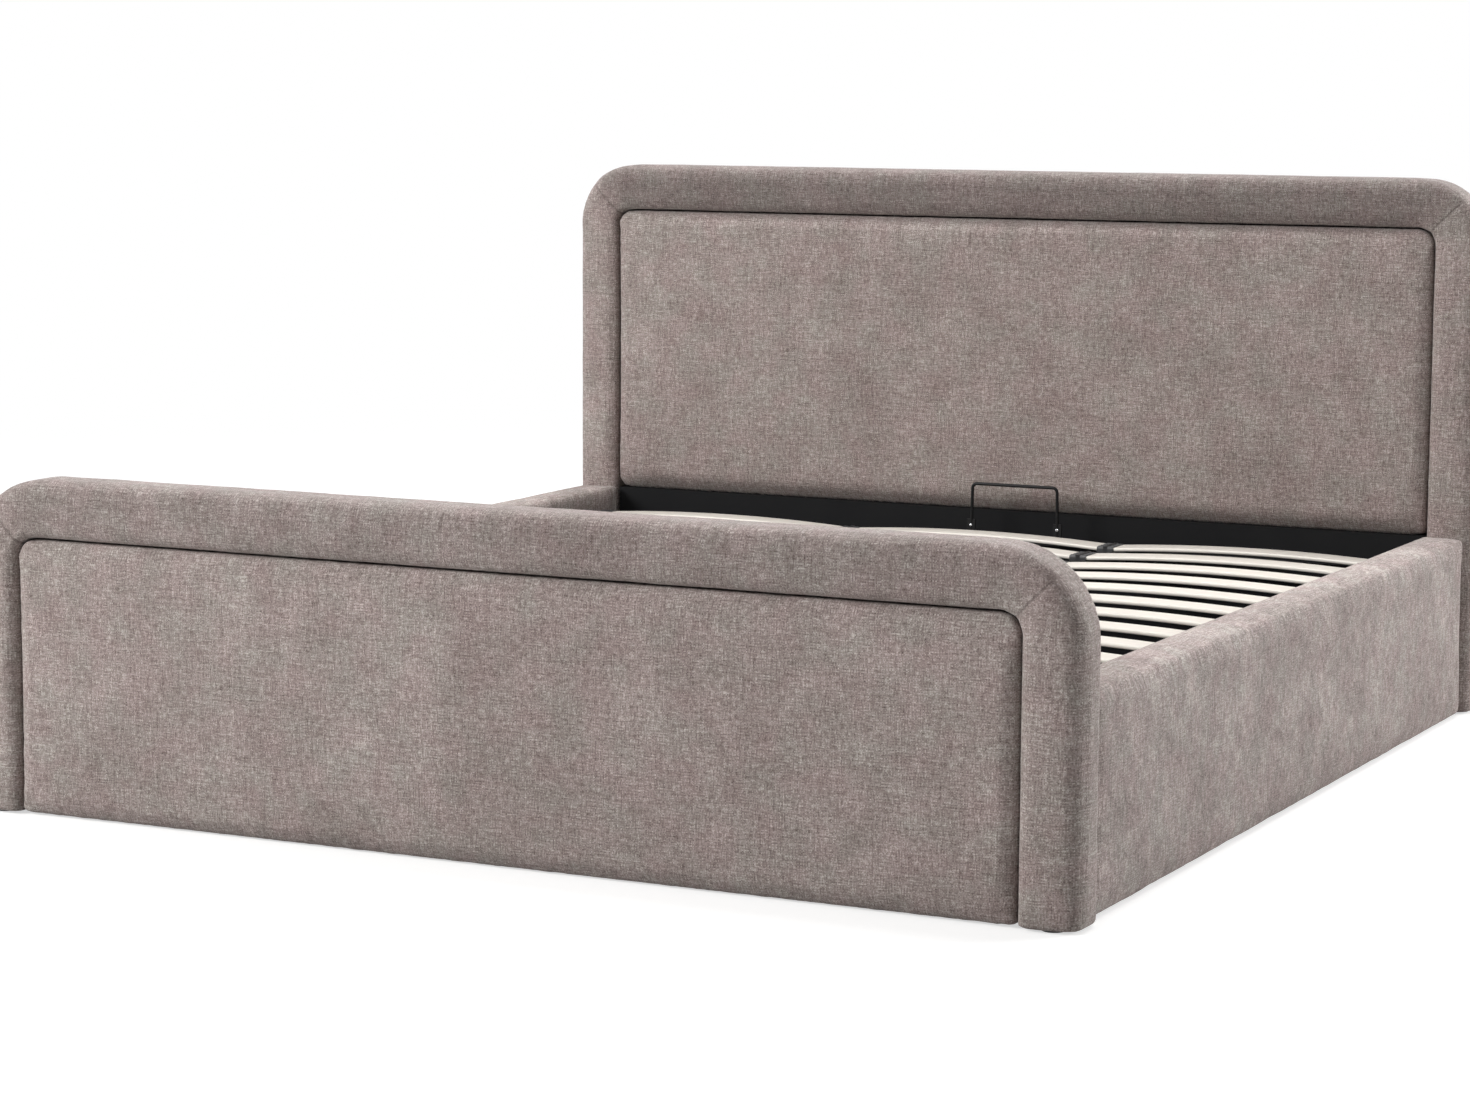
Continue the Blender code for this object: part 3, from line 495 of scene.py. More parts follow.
def plain(name, dark, light, rough, grit, depth, stretch=(1, 1, 1), metallic=0.0, wander=0.1, **shader):
    """A finish whose shade, height and gloss wander with one grit, stretched along its working direction."""
    material, tree, skin, place = start_material(name, rough, metallic, **shader)
    scale = tuple(1 / (grit * s) for s in stretch)
    laid = add(tree, "Mapping", {"Scale": scale}, {"Vector": place.outputs["Object"]})
    fine = add(tree, "TexNoise", {"Scale": 1.0, "Detail": 3.0, "Roughness": 0.6},
               {"Vector": laid.outputs[0]})
    broad = add(tree, "TexNoise", {"Scale": 1 / (120 * MM), "Detail": 2.0},
                {"Vector": place.outputs["Object"]})
    both = times(tree, broad.outputs["Fac"], 0.5, fine.outputs["Fac"])
    level = add(tree, "MapRange", {"From Min": 0.5, "From Max": 1.0}, {"Value": both})
    ramp = add(tree, "ValToRGB", {"stops": [(0.1, paint(dark)), (0.9, paint(light))]},
               {"Fac": level.outputs[0]})
    gloss = add(tree, "MapRange", {"To Min": rough - wander, "To Max": rough + wander},
                {"Value": level.outputs[0]})
    finish_material(tree, skin, ramp.outputs["Color"], fine.outputs["Fac"], depth, 0.8, gloss.outputs[0])
    return material


def pine(name, along):
    """Planed softwood: amber growth lines about 7 mm apart that run the length of the piece, and dull."""
    material, tree, skin, place = start_material(name, 0.62)
    scale = [1 / (7 * MM)] * 3
    scale[along] = 1 / (260 * MM)
    laid = add(tree, "Mapping", {"Scale": scale}, {"Vector": place.outputs["Object"]})
    rings = add(tree, "TexNoise", {"Scale": 1.0, "Detail": 4.0, "Roughness": 0.6, "Distortion": 0.8},
                {"Vector": laid.outputs[0]})
    ramp = add(tree, "ValToRGB", {"stops": [
        (0.32, paint("#a97c4c")), (0.46, paint("#d3ab78")), (0.62, paint("#e6c797"))]},
        {"Fac": rings.outputs["Fac"]})
    finish_material(tree, skin, ramp.outputs["Color"], rings.outputs["Fac"], depth=0.3 * MM, strength=0.6)
    return material


WAVE = 0.16               # width of a rib, in metres, that a wave texture draws at scale 1


def webbing():
    """Black polypropylene webbing: plain-woven ribs, 2.5 mm wide and 2 mm long, with a slight gloss."""
    material, tree, skin, place = start_material("black woven webbing", 0.6, Sheen_Weight=0.1)
    ribs = add(tree, "TexWave", {"bands_direction": "X", "Scale": WAVE / (2.5 * MM), "Distortion": 0.6,
                                 "Detail": 1.0}, {"Vector": place.outputs["Object"]})
    rows = add(tree, "TexWave", {"bands_direction": "Y", "Scale": WAVE / (2 * MM)},
               {"Vector": place.outputs["Object"]})
    knit = product(tree, ribs.outputs["Fac"], rows.outputs["Fac"])
    ramp = add(tree, "ValToRGB", {"stops": [(0.0, paint("#161618")), (1.0, paint("#37373a"))]},
               {"Fac": knit})
    finish_material(tree, skin, ramp.outputs["Color"], knit, depth=0.5 * MM, strength=0.9)
    return material


finish = {
    "black_lining": plain("black non-woven lining", "#09090a", "#131315", 0.85, 1.6 * MM, 0.25 * MM,
                          (1, 1, 3), Specular_IOR_Level=0.25),
    "base_board": plain("black-faced hardboard", "#101011", "#1d1d1e", 0.7, 2.5 * MM, 0.1 * MM, (1, 4, 1),
                        Specular_IOR_Level=0.25),
    "pale_birch": birch(),
    "strap_webbing": webbing(),
    "plastic_black": plain("moulded black polypropylene", "#1b1b1c", "#2b2b2c", 0.42, 0.9 * MM, 0.05 * MM),
    "steel_black": plain("black powder-coated steel", "#080809", "#121213", 0.5, 1.2 * MM, 0.07 * MM,
                         Specular_IOR_Level=0.2),
    "steel_zinc": plain("zinc-plated steel", "#9fa2a4", "#c9cbcc", 0.36, 6 * MM, 0.03 * MM, metallic=1.0),
    "steel_bright": plain("hard-chromed steel rod", "#c4c6c8", "#dcdee0", 0.14, 1.5 * MM, 0.01 * MM,
                          metallic=1.0, wander=0.04),
    "gloss_black": plain("stoved black enamel", "#0e0e0f", "#171718", 0.22, 3 * MM, 0.02 * MM,
                         wander=0.06, Coat_Weight=0.4),
    "screw_steel": plain("bright nickel-plated screw", "#b8bbbe", "#e2e4e6", 0.22, 1.2 * MM, 0.02 * MM,
                         metallic=1.0, wander=0.08),
}
pine_along_x = pine("planed pine, grain across the bed", 0)
pine_along_y = pine("planed pine, grain along the bed", 1)

# CAD nodes that stay take a detailed material for their slot
slot_of = {part["node"]: part["material_slot"] for part in frame["record"]["subparts"]}
for label, node in frame["nodes"].items():
    slot_name = slot_of[label]
    if slot_name == "bare_timber":
        dressed = pine_along_x if label == "ledger_foot" else pine_along_y
    elif label.startswith("strut_cylinder"):
        dressed = finish["gloss_black"]
    elif slot_name == "cover_cloth":
        continue
    else:
        dressed = finish[slot_name]
    node.data.materials.clear()
    node.data.materials.append(dressed)


# Headboard and footboard: a padded frame round an inset pad, and a cloth back panel

HALF_BED = cad_high.x
LEG_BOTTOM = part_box("headboard_border")[0].z - 3.3 * MM  # the cloth hangs over the glides' upper half
BORDER_SIDE = 100 * MM      # width of the frame's legs
INNER_CORNER = 34 * MM      # round corner of the opening that holds the pad
GROOVE = 3 * MM             # gap between the frame and the pad
CROWN = 13 * MM             # how far the frame's front falls back from its middle to its outer edge
CROWN_REACH = 80 * MM       # how far in from the outline it starts to fall
FRAME_SWELL = 1.5 * MM      # how far the frame's cover may swell, left free outside the plate
FRONT_ROLL = 20 * MM        # radii of the frame's rolled edges
INNER_ROLL = 16 * MM
BACK_ROLL = 5 * MM
MITRE_SHARE = 0.78          # how far the sewn mitre runs towards the outer corner
PAD_SWELL = 7 * MM          # how far the pad's cover may swell, left free in front of its plate
PANEL_FRONT = 24 * MM       # from the board's back to the back panel's front
PANEL_THICK = 22 * MM
PAD_BACK = 24.3 * MM        # from the board's back to the pad's, which just clears the panel
BOARD_VOXEL = 7 * MM        # size of the quads that the cloth is made of


def upright_plate(name, half, low, high, corner, y):
    """A flat upright plate with round top corners."""
    settle()
    bpy.ops.mesh.primitive_plane_add(size=1, location=(0, y, (low + high) / 2), rotation=(pi / 2, 0, 0))
    plate = bpy.context.object
    plate.name = name
    plate.scale = (2 * half, high - low, 1)
    place_in_mesh(plate)
    pick(plate, "VERT", lambda v: near(v.co.z, high))
    bpy.ops.mesh.bevel(offset=corner, offset_type="OFFSET", segments=14, affect="VERTICES")
    done()
    return plate


def thicken(obj, depth):
    """Pulls a flat plate out along Y."""
    pick_all(obj)
    bpy.ops.mesh.extrude_region_move(TRANSFORM_OT_translate={"value": (0, depth, 0)})
    bpy.ops.mesh.select_all(action="SELECT")
    bpy.ops.mesh.normals_make_consistent(inside=False)
    done()


def rim_edge(y, low, outward):
    """Says whether an edge lies at depth y on the outer or on the inner outline."""
    def wanted(edge):
        if not lies_at(edge, Y, y) or len(edge.link_faces) != 2:
            return False
        side = min(edge.link_faces, key=lambda face: abs(face.normal.y))
        if abs(side.normal.y) > 0.5 or side.normal.z < -0.99 and near(middle(edge).z, low):
            return False
        turned_out = side.normal.dot(middle(edge) - Vector((0, y, low))) > 0
        return turned_out == outward
    return wanted


def padded_frame(board, height, corner, strip, front, back):
    """The rolled frame: two plates bridged into an arch, pulled to depth, its edges rolled, then stuffed."""
    name = board + "_frame_cloth"
    outer = upright_plate(name, HALF_BED - FRAME_SWELL, LEG_BOTTOM, height - FRAME_SWELL, corner, front)
    hole = upright_plate("hole", HALF_BED - BORDER_SIDE, LEG_BOTTOM, height - strip, INNER_CORNER, front)
    arch = join(name, [outer, hole])
    pick_all(arch)
    bpy.ops.mesh.delete(type="ONLY_FACE")
    done()
    pick(arch, "EDGE", lambda edge: lies_at(edge, Z, LEG_BOTTOM))
    bpy.ops.mesh.delete(type="EDGE")
    done()
    pick(arch, "EDGE", lambda edge: True)
    bpy.ops.mesh.bridge_edge_loops(type="PAIRS")
    done()
    thicken(arch, back - front)
    round_edges(arch, rim_edge(front, LEG_BOTTOM, True), FRONT_ROLL, 6)
    round_edges(arch, rim_edge(back, LEG_BOTTOM, True), BACK_ROLL, 3)
    round_edges(arch, rim_edge(front, LEG_BOTTOM, False), INNER_ROLL, 6)
    make_right_way_round(arch)

    def stapled(co):
        """The cover is held at the back, under the legs and inside the opening."""
        inside = abs(co.x) < HALF_BED - BORDER_SIDE + 2 * MM and co.z < height - strip + 2 * MM
        return co.y > back - 4 * MM or co.z < LEG_BOTTOM + 4 * MM or inside and co.y > front + 8 * MM
    swell(arch, stapled, BOARD_VOXEL, pressure=1.2, cap=FRAME_SWELL)

    def fallen(co, normal):
        """The crown: the front falls back towards the outline, on the legs more than along the top."""
        outward = max(0, 1 - from_outline(co, height, corner) / CROWN_REACH)
        surface = min(1, max(0, (back - 12 * MM - co.y) / (60 * MM)))
        on_leg = min(1, max(0.15, 0.5 + (height - co.z - HALF_BED + abs(co.x)) / 0.1))
        return Vector((0, CROWN * outward ** 2 * surface * on_leg, 0))
    spread(arch, fallen)
    return arch


def from_outline(co, height, corner):
    """Distance of a point from the board's outline, seen from the front."""
    dx, dz = HALF_BED - abs(co.x), height - co.z
    if dx < corner and dz < corner:
        return corner - hypot(corner - dx, corner - dz)
    return min(dx, dz)


def mitre_lines(height, corner, strip):
    """Seams from the pad's corner towards the frame's round corner, on both sides."""
    cut_off = 0.29          # share of its radius by which a round corner falls short on each axis
    inner = Vector((HALF_BED - BORDER_SIDE - cut_off * INNER_CORNER, height - strip - cut_off * INNER_CORNER))
    outer = inner.lerp(Vector((HALF_BED - cut_off * corner, height - cut_off * corner)), MITRE_SHARE)
    return [((side * inner.x, inner.y), (side * outer.x, outer.y)) for _, side in SIDES]


def pucker(cloth, lines, front):
    """Small pulls on each side of the mitre seams and slow waves along the frame."""
    def moved(co, normal):
        shift = 0.5 * MM * noise.noise(co * 14 + Vector((3, 1, 7))) + 0.3 * MM * noise.noise(co * 38)
        if co.y >= front + 45 * MM:
            return normal * shift
        for (x0, z0), (x1, z1) in lines:
            line = Vector((x1 - x0, 0, z1 - z0))
            length = line.length
            line.normalize()
            rel = Vector((co.x - x0, 0, co.z - z0))
            along = rel.dot(line)
            off = (rel - line * along).length
            if -0.02 < along < length + 0.03 and off < 0.06:
                held = min(1, max(0, (length + 0.02 - along) / 0.03))
                shift -= 1.3 * MM * held * exp(-(off / (6 * MM)) ** 2)
                tuck = noise.noise(Vector((along * 75, off * 22, x0)))
                shift += 2.2 * MM * held * exp(-(off / (26 * MM)) ** 2) * tuck
        return normal * shift
    spread(cloth, moved)


def inset_pad(board, half, bottom, top, foot_corner, front, back):
    """The inset pad: a plate with round corners, rolled at the front, then blown up like foam under cloth."""
    face = front + PAD_SWELL
    pad = upright_plate(board + "_pad_cushion", half, bottom, top, INNER_CORNER - GROOVE, face)
    pick(pad, "VERT", lambda v: near(v.co.z, bottom))
    bpy.ops.mesh.bevel(offset=foot_corner, offset_type="OFFSET", segments=6, affect="VERTICES")
    done()
    thicken(pad, back - front - PAD_SWELL)
    round_edges(pad, lambda edge: lies_at(edge, Y, face), 5 * MM, 4)
    make_right_way_round(pad)
    swell(pad, lambda co: co.y > front + 16 * MM, BOARD_VOXEL, pressure=1.6, cap=PAD_SWELL)
    return pad


def tug(pad, half, bottom, top, front, side_roll, foot_roll):
    """Cloth pulled into the groove: its edges roll back, with short folds that are strongest at the corners.

    Where foot_roll is deep, the foot is gathered as well, in fine upright folds.
    """
    def moved(co, normal):
        gap_x, gap_top, gap_foot = half - abs(co.x), top - co.z, co.z - bottom
        surface = min(1, max(0, 1 - (co.y - front) / (44 * MM)))
        roll = surface * (side_roll * max(0, 1 - min(gap_x, gap_top) / (18 * MM)) ** 2
                          + foot_roll * max(0, 1 - gap_foot / (46 * MM)) ** 2)
        edge = min(gap_x, gap_top, gap_foot)
        along = co.z if edge == gap_x else co.x
        near_corner = exp(-(hypot(min(gap_x, 0.3), min(gap_top, gap_foot, 0.3)) / 0.11) ** 2)
        fade = exp(-((edge - 10 * MM) / (22 * MM)) ** 2)
        folds = noise.noise(Vector((along * 42, edge * 6, 5))) + 0.5 * noise.noise(Vector((along * 95, edge * 8, 9)))
        shift = MM * fade * folds * (0.9 + 1.4 * near_corner)
        shift += 0.9 * MM * noise.noise(Vector((co.x * 3.2, co.z * 4.1, 2))) * min(1, max(edge, 0) / 0.06)
        shift += 0.25 * MM * noise.noise(co * 30)
        gathered = max(0, 1 - gap_foot / (40 * MM)) * min(1, foot_roll / (20 * MM))
        shift += 1.1 * MM * gathered * noise.noise(Vector((co.x * 160, gap_foot * 20, 3)))
        return normal * shift + Vector((0, roll, 0))
    spread(pad, moved)


def back_panel(board, height, strip, back):
    """The cloth-covered board that closes the back, tucked into the frame all round."""
    tuck = 0.3 * MM
    panel = upright_plate(board + "_back_panel", HALF_BED - BORDER_SIDE + tuck, LEG_BOTTOM,
                          height - strip + tuck, INNER_CORNER, back - PANEL_FRONT)
    thicken(panel, PANEL_THICK)
    round_edges(panel, lambda edge: lies_at(edge, Y, back - PANEL_FRONT + PANEL_THICK), 5 * MM, 4)
    make_right_way_round(panel)
    modify(panel, "REMESH", mode="VOXEL", voxel_size=9 * MM, use_smooth_shade=True)
    modify(panel, "SMOOTH", factor=0.5, iterations=2)
    spread(panel, lambda co, normal: normal * 0.4 * MM * noise.noise(co * 9))
    return panel


def dress(piece, material, body, nodes):
    """Gives a piece its material and its body, and hides the CAD nodes that it stands in for."""
    piece.data.materials.clear()
    piece.data.materials.append(material)
    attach(piece, body)
    if nodes:
        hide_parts(*nodes)


def cover_in_cloth(piece, material, nodes):
    """Lays the cloth on a piece of the bed frame."""
    lay_cloth_map(piece)
    shade(piece)
    dress(piece, material, "bed_frame", nodes)


def upholstered_board(board, corner, strip, strip_shade, pad_corner, foot_roll):
    """A whole board: its frame, its pad and its back panel. Strip is the frame's width along the top."""
    (_, front, _), (_, _, height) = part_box(board + "_border")
    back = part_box(board + "_core")[1].y
    seams = mitre_lines(height, corner, strip)
    frame_cloth = padded_frame(board, height, corner, strip, front, back)
    pucker(frame_cloth, seams, front)
    cover_in_cloth(frame_cloth, chenille(f"taupe chenille, {board} frame", seams, strip_shade),
                   [board + "_border", board + "_core"])

    half = HALF_BED - BORDER_SIDE - GROOVE
    bottom = LEG_BOTTOM if board == "footboard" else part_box(board + "_pad")[0].z
    top = height - strip - GROOVE
    pad = inset_pad(board, half, bottom, top, pad_corner, front, back - PAD_BACK)
    tug(pad, half, bottom, top, front, 1.2 * MM, foot_roll)
    cover_in_cloth(pad, chenille(f"taupe chenille, {board} pad"), [board + "_pad"])

    panel = back_panel(board, height, strip, back)
    cover_in_cloth(panel, chenille(f"taupe chenille, {board} back"), [board + "_core"])


# Each board's top strip is darkened by painted shade, more on the headboard than on the footboard.
upholstered_board("headboard", corner=130 * MM, strip=97 * MM, strip_shade=0.58, pad_corner=20 * MM, foot_roll=24 * MM)
upholstered_board("footboard", corner=147 * MM, strip=100 * MM, strip_shade=0.84, pad_corner=8 * MM, foot_roll=3 * MM)


# Side rails: cloth all round a plank, with padding over its outer face and its top

RAIL_SWELL = 3 * MM         # how far a rail's cover may swell, left free outside its block


def rail_cover(label, side):
    """A long block with rolled edges, stuffed, then pulled into slow upright waves."""
    core_low, core_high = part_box("side_rail_core_" + label)
    pad_low, pad_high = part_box("side_rail_pad_" + label)
    inner = core_low.x if side > 0 else core_high.x
    outer = (pad_high.x if side > 0 else pad_low.x) - side * RAIL_SWELL
    low = (min(inner, outer), pad_low.y, LEG_BOTTOM)
    high = (max(inner, outer), pad_high.y, pad_high.z - 3.5 * MM)
    cover = cube(f"side_rail_cover_{label}", low, high)
    round_edges(cover, lambda edge: lies_at(edge, Z, high[Z]) and near(middle(edge).x, outer), 12 * MM, 6)
    round_edges(cover, lambda edge: lies_at(edge, Z, high[Z]) and lies_at(edge, X, inner), 10 * MM, 4)
    round_edges(cover, lambda edge: lies_at(edge, Z, low[Z]) and near(middle(edge).x, outer), 8 * MM, 3)
    round_edges(cover, lambda edge: near(middle(edge).y, high[Y]) and near(run_along(edge, Y), 0)
                and side * middle(edge).x > side * inner + 20 * MM, 12 * MM, 4)
    make_right_way_round(cover)

    def stapled(co):
        """The cover is held inside, under the rail and against both boards."""
        return (side * co.x < side * inner + 12 * MM or co.z < low[Z] + 6 * MM
                or co.y > high[Y] - 5 * MM or co.y < low[Y] + 5 * MM)
    swell(cover, stapled, voxel=8 * MM, pressure=1.5, cap=RAIL_SWELL)

    def moved(co, normal):
        free = min(1, max(0, side * (co.x - inner) - 12 * MM) / (30 * MM))
        drape = (noise.noise(Vector((co.y * 9, co.z * 1.6, 4 + side)))
                 + 0.4 * noise.noise(Vector((co.y * 27, co.z * 4, 8))))
        return normal * free * (0.9 * MM * drape + 0.25 * MM * noise.noise(co * 34))
    spread(cover, moved)
    cover_in_cloth(cover, chenille(f"taupe chenille, {label} rail", brush=RAIL_BRUSH),
                   [f"side_rail_core_{label}", f"side_rail_pad_{label}"])


for label, side in SIDES:
    rail_cover(label, side)


# Slats in three columns, each arched, with their clips

SLAT_WIDTH = 63 * MM
SLAT_THICK = 8 * MM
SLAT_ARCH = 11 * MM
SLAT_LENGTHS = 24          # straight lengths that an arched slat is made of
BAR_OFFSET = 296 * MM      # from the bed's middle to each inner bar
CLIP_LENGTH = 35 * MM
CLIP_RIBS = (-24, -8, 8, 24)  # the ribs' middles across a clip, in mm
END_GAP = 2.5 * MM         # bare middle of a double clip, each side of the bar's own middle
SLAT_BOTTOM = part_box("slat_row_01")[0].z + 6 * MM
TUBE_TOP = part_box("platform_tube_left")[1].z


def arched_slat():
    """One slat of the middle column, at Y 0: rounded along its edges, cut into lengths, then arched."""
    half = BAR_OFFSET - END_GAP
    slat = cube("slat", (-half, -SLAT_WIDTH / 2, SLAT_BOTTOM), (half, SLAT_WIDTH / 2, SLAT_BOTTOM + SLAT_THICK))
    round_edges(slat, lambda edge: near(run_along(edge, X), 2 * half), 3.6 * MM, 4)
    slice_at(slat, X, [-half + 2 * half * step / SLAT_LENGTHS for step in range(1, SLAT_LENGTHS)])
    spread(slat, lambda co, normal: Vector((0, 0, SLAT_ARCH * (1 - (co.x / half) ** 2))))
    round_edges(slat, lambda edge: all(near(abs(v.co.x), half) for v in edge.verts), 0.8 * MM, 2)
    shade(slat, 40)
    return slat


def slat_clip(double):
    """A moulded sleeve at the origin, ribbed on top, with a peg. A double one has a raised band in its middle."""
    half = CLIP_LENGTH / 2
    width = SLAT_WIDTH / 2 + 1.6 * MM
    top = TUBE_TOP + 16.4 * MM
    clip = cube("clip", (-half, -width, TUBE_TOP + 0.3 * MM), (half, width, top))
    round_edges(clip, lambda edge: lies_at(edge, Z, top) and abs(middle(edge).y) > 10 * MM, 4 * MM, 4)
    slice_at(clip, Y, [(rib + edge) * MM for rib in CLIP_RIBS for edge in (-3.5, 3.5)])
    if pick(clip, "FACE", lambda face: face.normal.z > 0.9
            and any(abs(middle(face).y - rib * MM) < 3 * MM for rib in CLIP_RIBS)):
        bpy.ops.mesh.inset(thickness=0.8 * MM, depth=0.9 * MM)
    done()
    if double:
        crest = top + 1.8 * MM
        band = cube("band", (-4 * MM, -width - 0.6 * MM, TUBE_TOP + 4 * MM), (4 * MM, width + 0.6 * MM, crest))
        round_edges(band, lambda edge: not near(run_along(edge, Y), 0), 1.2 * MM, 3)
        round_edges(band, lambda edge: lies_at(edge, Z, crest), 1.0 * MM, 2)
        clip = join("clip", [clip, band])
    peg = cylinder("peg", 4.5 * MM, 8 * MM, (0, 0, TUBE_TOP - 2 * MM), 16)
    clip = join("clip", [clip, peg])
    shade(clip, 35)
    return clip


def slat_rows():
    """Thirteen rows of three slats, the outer ones cut to reach the side tubes, and a clip at each slat's end."""
    slat, middle_clip, end_clip = arched_slat(), slat_clip(True), slat_clip(False)
    half_platform = -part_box("platform_tube_left")[0].x
    end_offset = half_platform - CLIP_LENGTH / 2
    side_middle = (BAR_OFFSET + half_platform) / 2
    side_scale = (half_platform - BAR_OFFSET - 2 * END_GAP) / (2 * (BAR_OFFSET - END_GAP))
    for row in range(1, 14):
        node = f"slat_row_{row:02d}"
        low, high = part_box(node)
        y = (low.y + high.y) / 2
        strips = []
        for column in (-1, 0, 1):
            strip = copy_to(slat, f"slat_{row:02d}_{column}", (column * side_middle, y, 0))
            if column:
                for v in strip.data.vertices:
                    v.co.x = column * side_middle + (v.co.x - column * side_middle) * side_scale
            strips.append(strip)
        dress(join(f"slats_row_{row:02d}", strips), finish["pale_birch"], "platform", [node])
        clips = [copy_to(middle_clip, f"clip_{row}_{x}", (x * BAR_OFFSET, y, 0)) for x in (-1, 1)]
        clips += [copy_to(end_clip, f"end_{row}_{x}", (x * end_offset, y, 0)) for x in (-1, 1)]
        dress(join(f"clips_row_{row:02d}", clips), finish["plastic_black"], "platform", [node])
    for pattern in (slat, middle_clip, end_clip):
        bpy.data.objects.remove(pattern)


slat_rows()


# Lift strap: webbing over the foot tube

STRAP_LENGTHS = 56
STRAP_TAIL = 30 * MM        # flat length at each end
STRAP_THICK = 2.5 * MM


def lift_strap():
    """A strip of webbing with rounded selvedges, cut into lengths and arched along the CAD strap."""
    low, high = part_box("lift_strap")
    span = high.x - low.x
    strap = cube("lift_strap_webbing", low, (high.x, high.y, low.z + STRAP_THICK))
    round_edges(strap, lambda edge: near(run_along(edge, X), span), 0.9 * MM, 3)
    slice_at(strap, X, [low.x + span * step / STRAP_LENGTHS for step in range(1, STRAP_LENGTHS)])

    def moved(co, normal):
        share = min(1, abs(co.x) / (high.x - STRAP_TAIL))
        return Vector((0, 0, max(0, cos(pi / 2 * share)) ** 0.7 * (high.z - low.z - STRAP_THICK)))
    spread(strap, moved)
    shade(strap, 50)
    dress(strap, finish["strap_webbing"], "platform", ["lift_strap"])


lift_strap()


# Screws: one pan head with a hexagonal socket, copied to every place

def pan_screw(radius):
    """A button head that faces up at the origin: a cylinder, domed by a bevel, with a socket cut in."""
    rise = radius * 0.55
    head = cylinder("screw", radius, rise, (0, 0, rise / 2), 28)
    round_edges(head, lambda edge: lies_at(edge, Z, rise), radius * 0.42, 5)
    cut_away(head, cylinder("socket", radius * 0.42, rise, (0, 0, rise), 6))
    make_right_way_round(head)
    shade(head, 35)
    return head


def screws(name, radius, body, places):
    """A group of screws; each place is a point and the direction that its head faces."""
    pattern = pan_screw(radius)
    heads = []
    for number, (point, facing) in enumerate(places):
        head = copy_to(pattern, f"{name}_{number}", (0, 0, 0))
        turn = Vector(facing).to_track_quat("Z", "Y").to_matrix().to_4x4()
        head.data.transform(Matrix.Translation(point) @ turn)
        heads.append(head)
    bpy.data.objects.remove(pattern)
    dress(join(name, heads), finish["screw_steel"], body, [])


def retainer_screws():
    """One screw in each flat tab of the mattress retainer."""
    low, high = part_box("mattress_retainer")
    centre, tab_face = (low.x + high.x) / 2, (low.y + high.y) / 2 - 2 * MM
    offset = (high.x - low.x) / 2 - 9 * MM
    screws("retainer_screws", 3.2 * MM, "platform",
           [((centre + side * offset, tab_face, TUBE_TOP + 32 * MM), (0, -1, 0)) for _, side in SIDES])


def hinge_plate_screws(label, side):
    """Four screws in the plate's inner face, two at its ends and two nearer its middle."""
    low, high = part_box("hinge_plate_" + label)
    face = side * (abs(high.x if side < 0 else low.x) + 5.1 * MM)
    spots = [(face, low.y + 18 * MM, low.z + 20 * MM), (face, high.y - 16 * MM, high.z - 14 * MM),
             (face, low.y + 60 * MM, low.z + 72 * MM), (face, high.y - 52 * MM, high.z - 60 * MM)]
    screws(f"hinge_plate_screws_{label}", 5 * MM, "bed_frame", [(spot, (-side, 0, 0)) for spot in spots])


def ledger_screws(label, side):
    """Six screws along the middle of the ledger's inner face, the end ones 60 mm in."""
    low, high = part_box("ledger_" + label)
    face = side * min(abs(low.x), abs(high.x))
    z = (low.z + high.z) / 2
    screws(f"ledger_screws_{label}", 4 * MM, "bed_frame",
           [((face, low.y + 0.06 + step * (high.y - low.y - 0.12) / 5, z), (-side, 0, 0)) for step in range(6)])


def corner_bracket_screws(label, side):
    """Two screws in each flange of the brackets at the head and at the foot."""
    thick = 4 * MM
    places = []
    for end, away in (("head", -1), ("foot", 1)):
        low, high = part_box(f"corner_bracket_{end}_{label}")
        inner = side * (max(abs(low.x), abs(high.x)) - thick)
        wall = (high.y if end == "head" else low.y) + away * thick
        for share in (0.2, 0.8):
            z = low.z + share * (high.z - low.z)
            places.append(((inner, (low.y + high.y) / 2, z), (-side, 0, 0)))
            places.append((((low.x + high.x) / 2, wall, z), (0, away, 0)))
    screws(f"corner_bracket_screws_{label}", 4.5 * MM, "bed_frame", places)


retainer_screws()
for label, side in SIDES:
    hinge_plate_screws(label, side)
    ledger_screws(label, side)
    corner_bracket_screws(label, side)


# Studio: pale floor, soft light, the photograph's camera

WORLD_LIGHT = 0.15
FLOOR_LIFT = 0.6            # glow that the eye sees on the floor, so that it stays pale
PAPER = (2.6, 7.0)          # distances from the bed's middle between which the floor fades into white
LAMPS = (
    ("front left softbox", (-5.6, -6.0, 4.2), (0, 0, 0.4), 3.2, 2.8, 715),
    ("right softbox", (7.4, 6.4, 3.0), (0.6, 0.2, 0.3), 3.4, 2.6, 650),
    ("overhead softbox", (0.0, 1.4, 5.0), (0, 0.2, 0), 4.0, 4.0, 390),
)


def seen_rays(tree):
    """1 where the floor or sky is looked at, also in a reflection or through glass, and 0 where it lights."""
    path = add(tree, "LightPath")
    seen = add(tree, "Math", {"operation": "MAXIMUM"},
               {0: path.outputs["Is Camera Ray"], 1: path.outputs["Is Glossy Ray"]})
    seen = add(tree, "Math", {"operation": "MAXIMUM"}, {0: seen.outputs[0], 1: path.outputs["Is Transmission Ray"]})
    return seen.outputs[0]


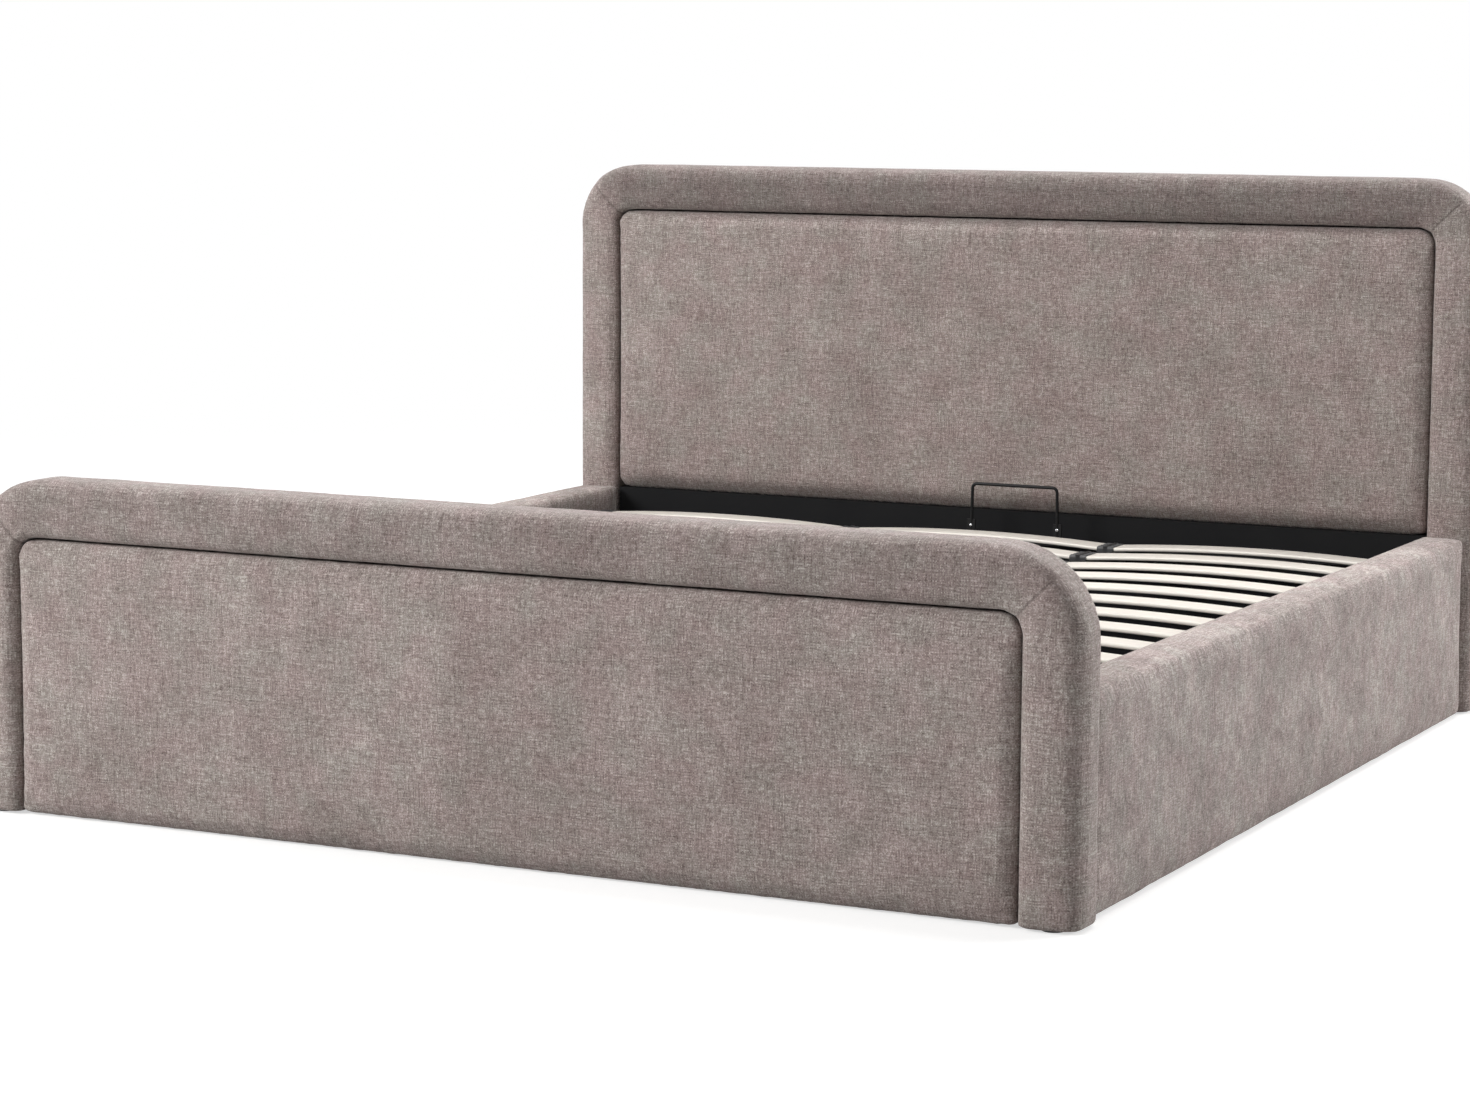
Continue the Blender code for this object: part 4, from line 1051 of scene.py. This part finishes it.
def studio_floor():
    """A wide pale floor that keeps the bed's shadow and fades into white."""
    settle()
    bpy.ops.mesh.primitive_grid_add(x_subdivisions=8, y_subdivisions=8, size=400, location=(0, 0, 0))
    floor = bpy.context.object
    floor.name = "studio_floor"
    material, tree, skin, place = start_material("matt white studio floor", 0.9, Specular_IOR_Level=0.1)
    speckle = add(tree, "TexNoise", {"Scale": 30.0, "Detail": 2.0}, {"Vector": place.outputs["Object"]})
    tone = add(tree, "ValToRGB", {"stops": [(0.0, paint("#c6c6c5")), (1.0, paint("#cacac9"))]},
               {"Fac": speckle.outputs["Fac"]})
    tree.links.new(tone.outputs["Color"], skin.inputs["Base Color"])
    seen = seen_rays(tree)
    glow = add(tree, "Emission", None, {"Strength": times(tree, seen, FLOOR_LIFT)})
    lit = add(tree, "AddShader", None, {0: skin.outputs["BSDF"], 1: glow.outputs[0]})
    reach = add(tree, "VectorMath", {"operation": "LENGTH"}, {0: place.outputs["Object"]})
    far = add(tree, "MapRange", {"From Min": PAPER[0], "From Max": PAPER[1], "interpolation_type": "SMOOTHSTEP"},
              {"Value": reach.outputs["Value"]})
    fade = product(tree, far.outputs[0], seen)
    paper = add(tree, "Emission", {"Strength": 1.0})
    both = add(tree, "MixShader", None, {0: fade, 1: lit.outputs[0], 2: paper.outputs[0]})
    out = next(n for n in tree.nodes if n.type == "OUTPUT_MATERIAL")
    tree.links.new(both.outputs[0], out.inputs["Surface"])
    floor.data.materials.append(material)


def studio_world():
    """A white surround to look at, which lights the bed only a little."""
    world = bpy.data.worlds.new("soft studio")
    bpy.context.scene.world = world
    world.use_nodes = True
    tree = world.node_tree
    tree.nodes.clear()
    strength = add(tree, "MapRange", {"To Min": WORLD_LIGHT, "To Max": 1.0}, {"Value": seen_rays(tree)})
    sky = add(tree, "Background", {"Color": (1, 1, 1, 1)}, {"Strength": strength.outputs[0]})
    add(tree, "OutputWorld", None, {"Surface": sky.outputs[0]})


def studio_lamps():
    """Soft rectangular lamps, each turned to the point that it lights."""
    for name, place, aim, width, height, watts in LAMPS:
        data = bpy.data.lights.new(name, "AREA")
        data.shape, data.size, data.size_y, data.energy = "RECTANGLE", width, height, watts
        lamp = bpy.data.objects.new(name, data)
        lamp.location = place
        lamp.rotation_mode = "QUATERNION"
        lamp.rotation_quaternion = (Vector(aim) - Vector(place)).to_track_quat("-Z", "Y")
        bpy.context.scene.collection.objects.link(lamp)


CAMERA_PLACE = Vector((2.9164, -6.066, 1.26))
CAMERA_TURN = (0.4624, 0.1296, 0.0053)  # yaw to the left, pitch down and roll, in radians
CAMERA_LENS = 89.79         # focal length in millimetres, for a sensor 36 mm wide


def camera():
    """The photograph's view: place, turn and lens as measured from the bed's own straight lines."""
    yaw, pitch, roll = CAMERA_TURN
    ahead = Vector((-sin(yaw) * cos(pitch), cos(yaw) * cos(pitch), -sin(pitch)))
    level = Vector((cos(yaw), sin(yaw), 0))
    above = level.cross(ahead)
    right = level * cos(roll) + above * sin(roll)
    up = above * cos(roll) - level * sin(roll)
    data = bpy.data.cameras.new("camera")
    data.lens, data.sensor_width = CAMERA_LENS, 36
    data.clip_start, data.clip_end = 0.1, 1000
    obj = bpy.data.objects.new("camera", data)
    obj.matrix_world = Matrix((
        (right.x, up.x, -ahead.x, CAMERA_PLACE.x), (right.y, up.y, -ahead.y, CAMERA_PLACE.y),
        (right.z, up.z, -ahead.z, CAMERA_PLACE.z), (0, 0, 0, 1)))
    bpy.context.scene.collection.objects.link(obj)
    bpy.context.scene.camera = obj


studio_floor()
studio_world()
studio_lamps()
camera()
bpy.context.scene.view_settings.view_transform = "Standard"
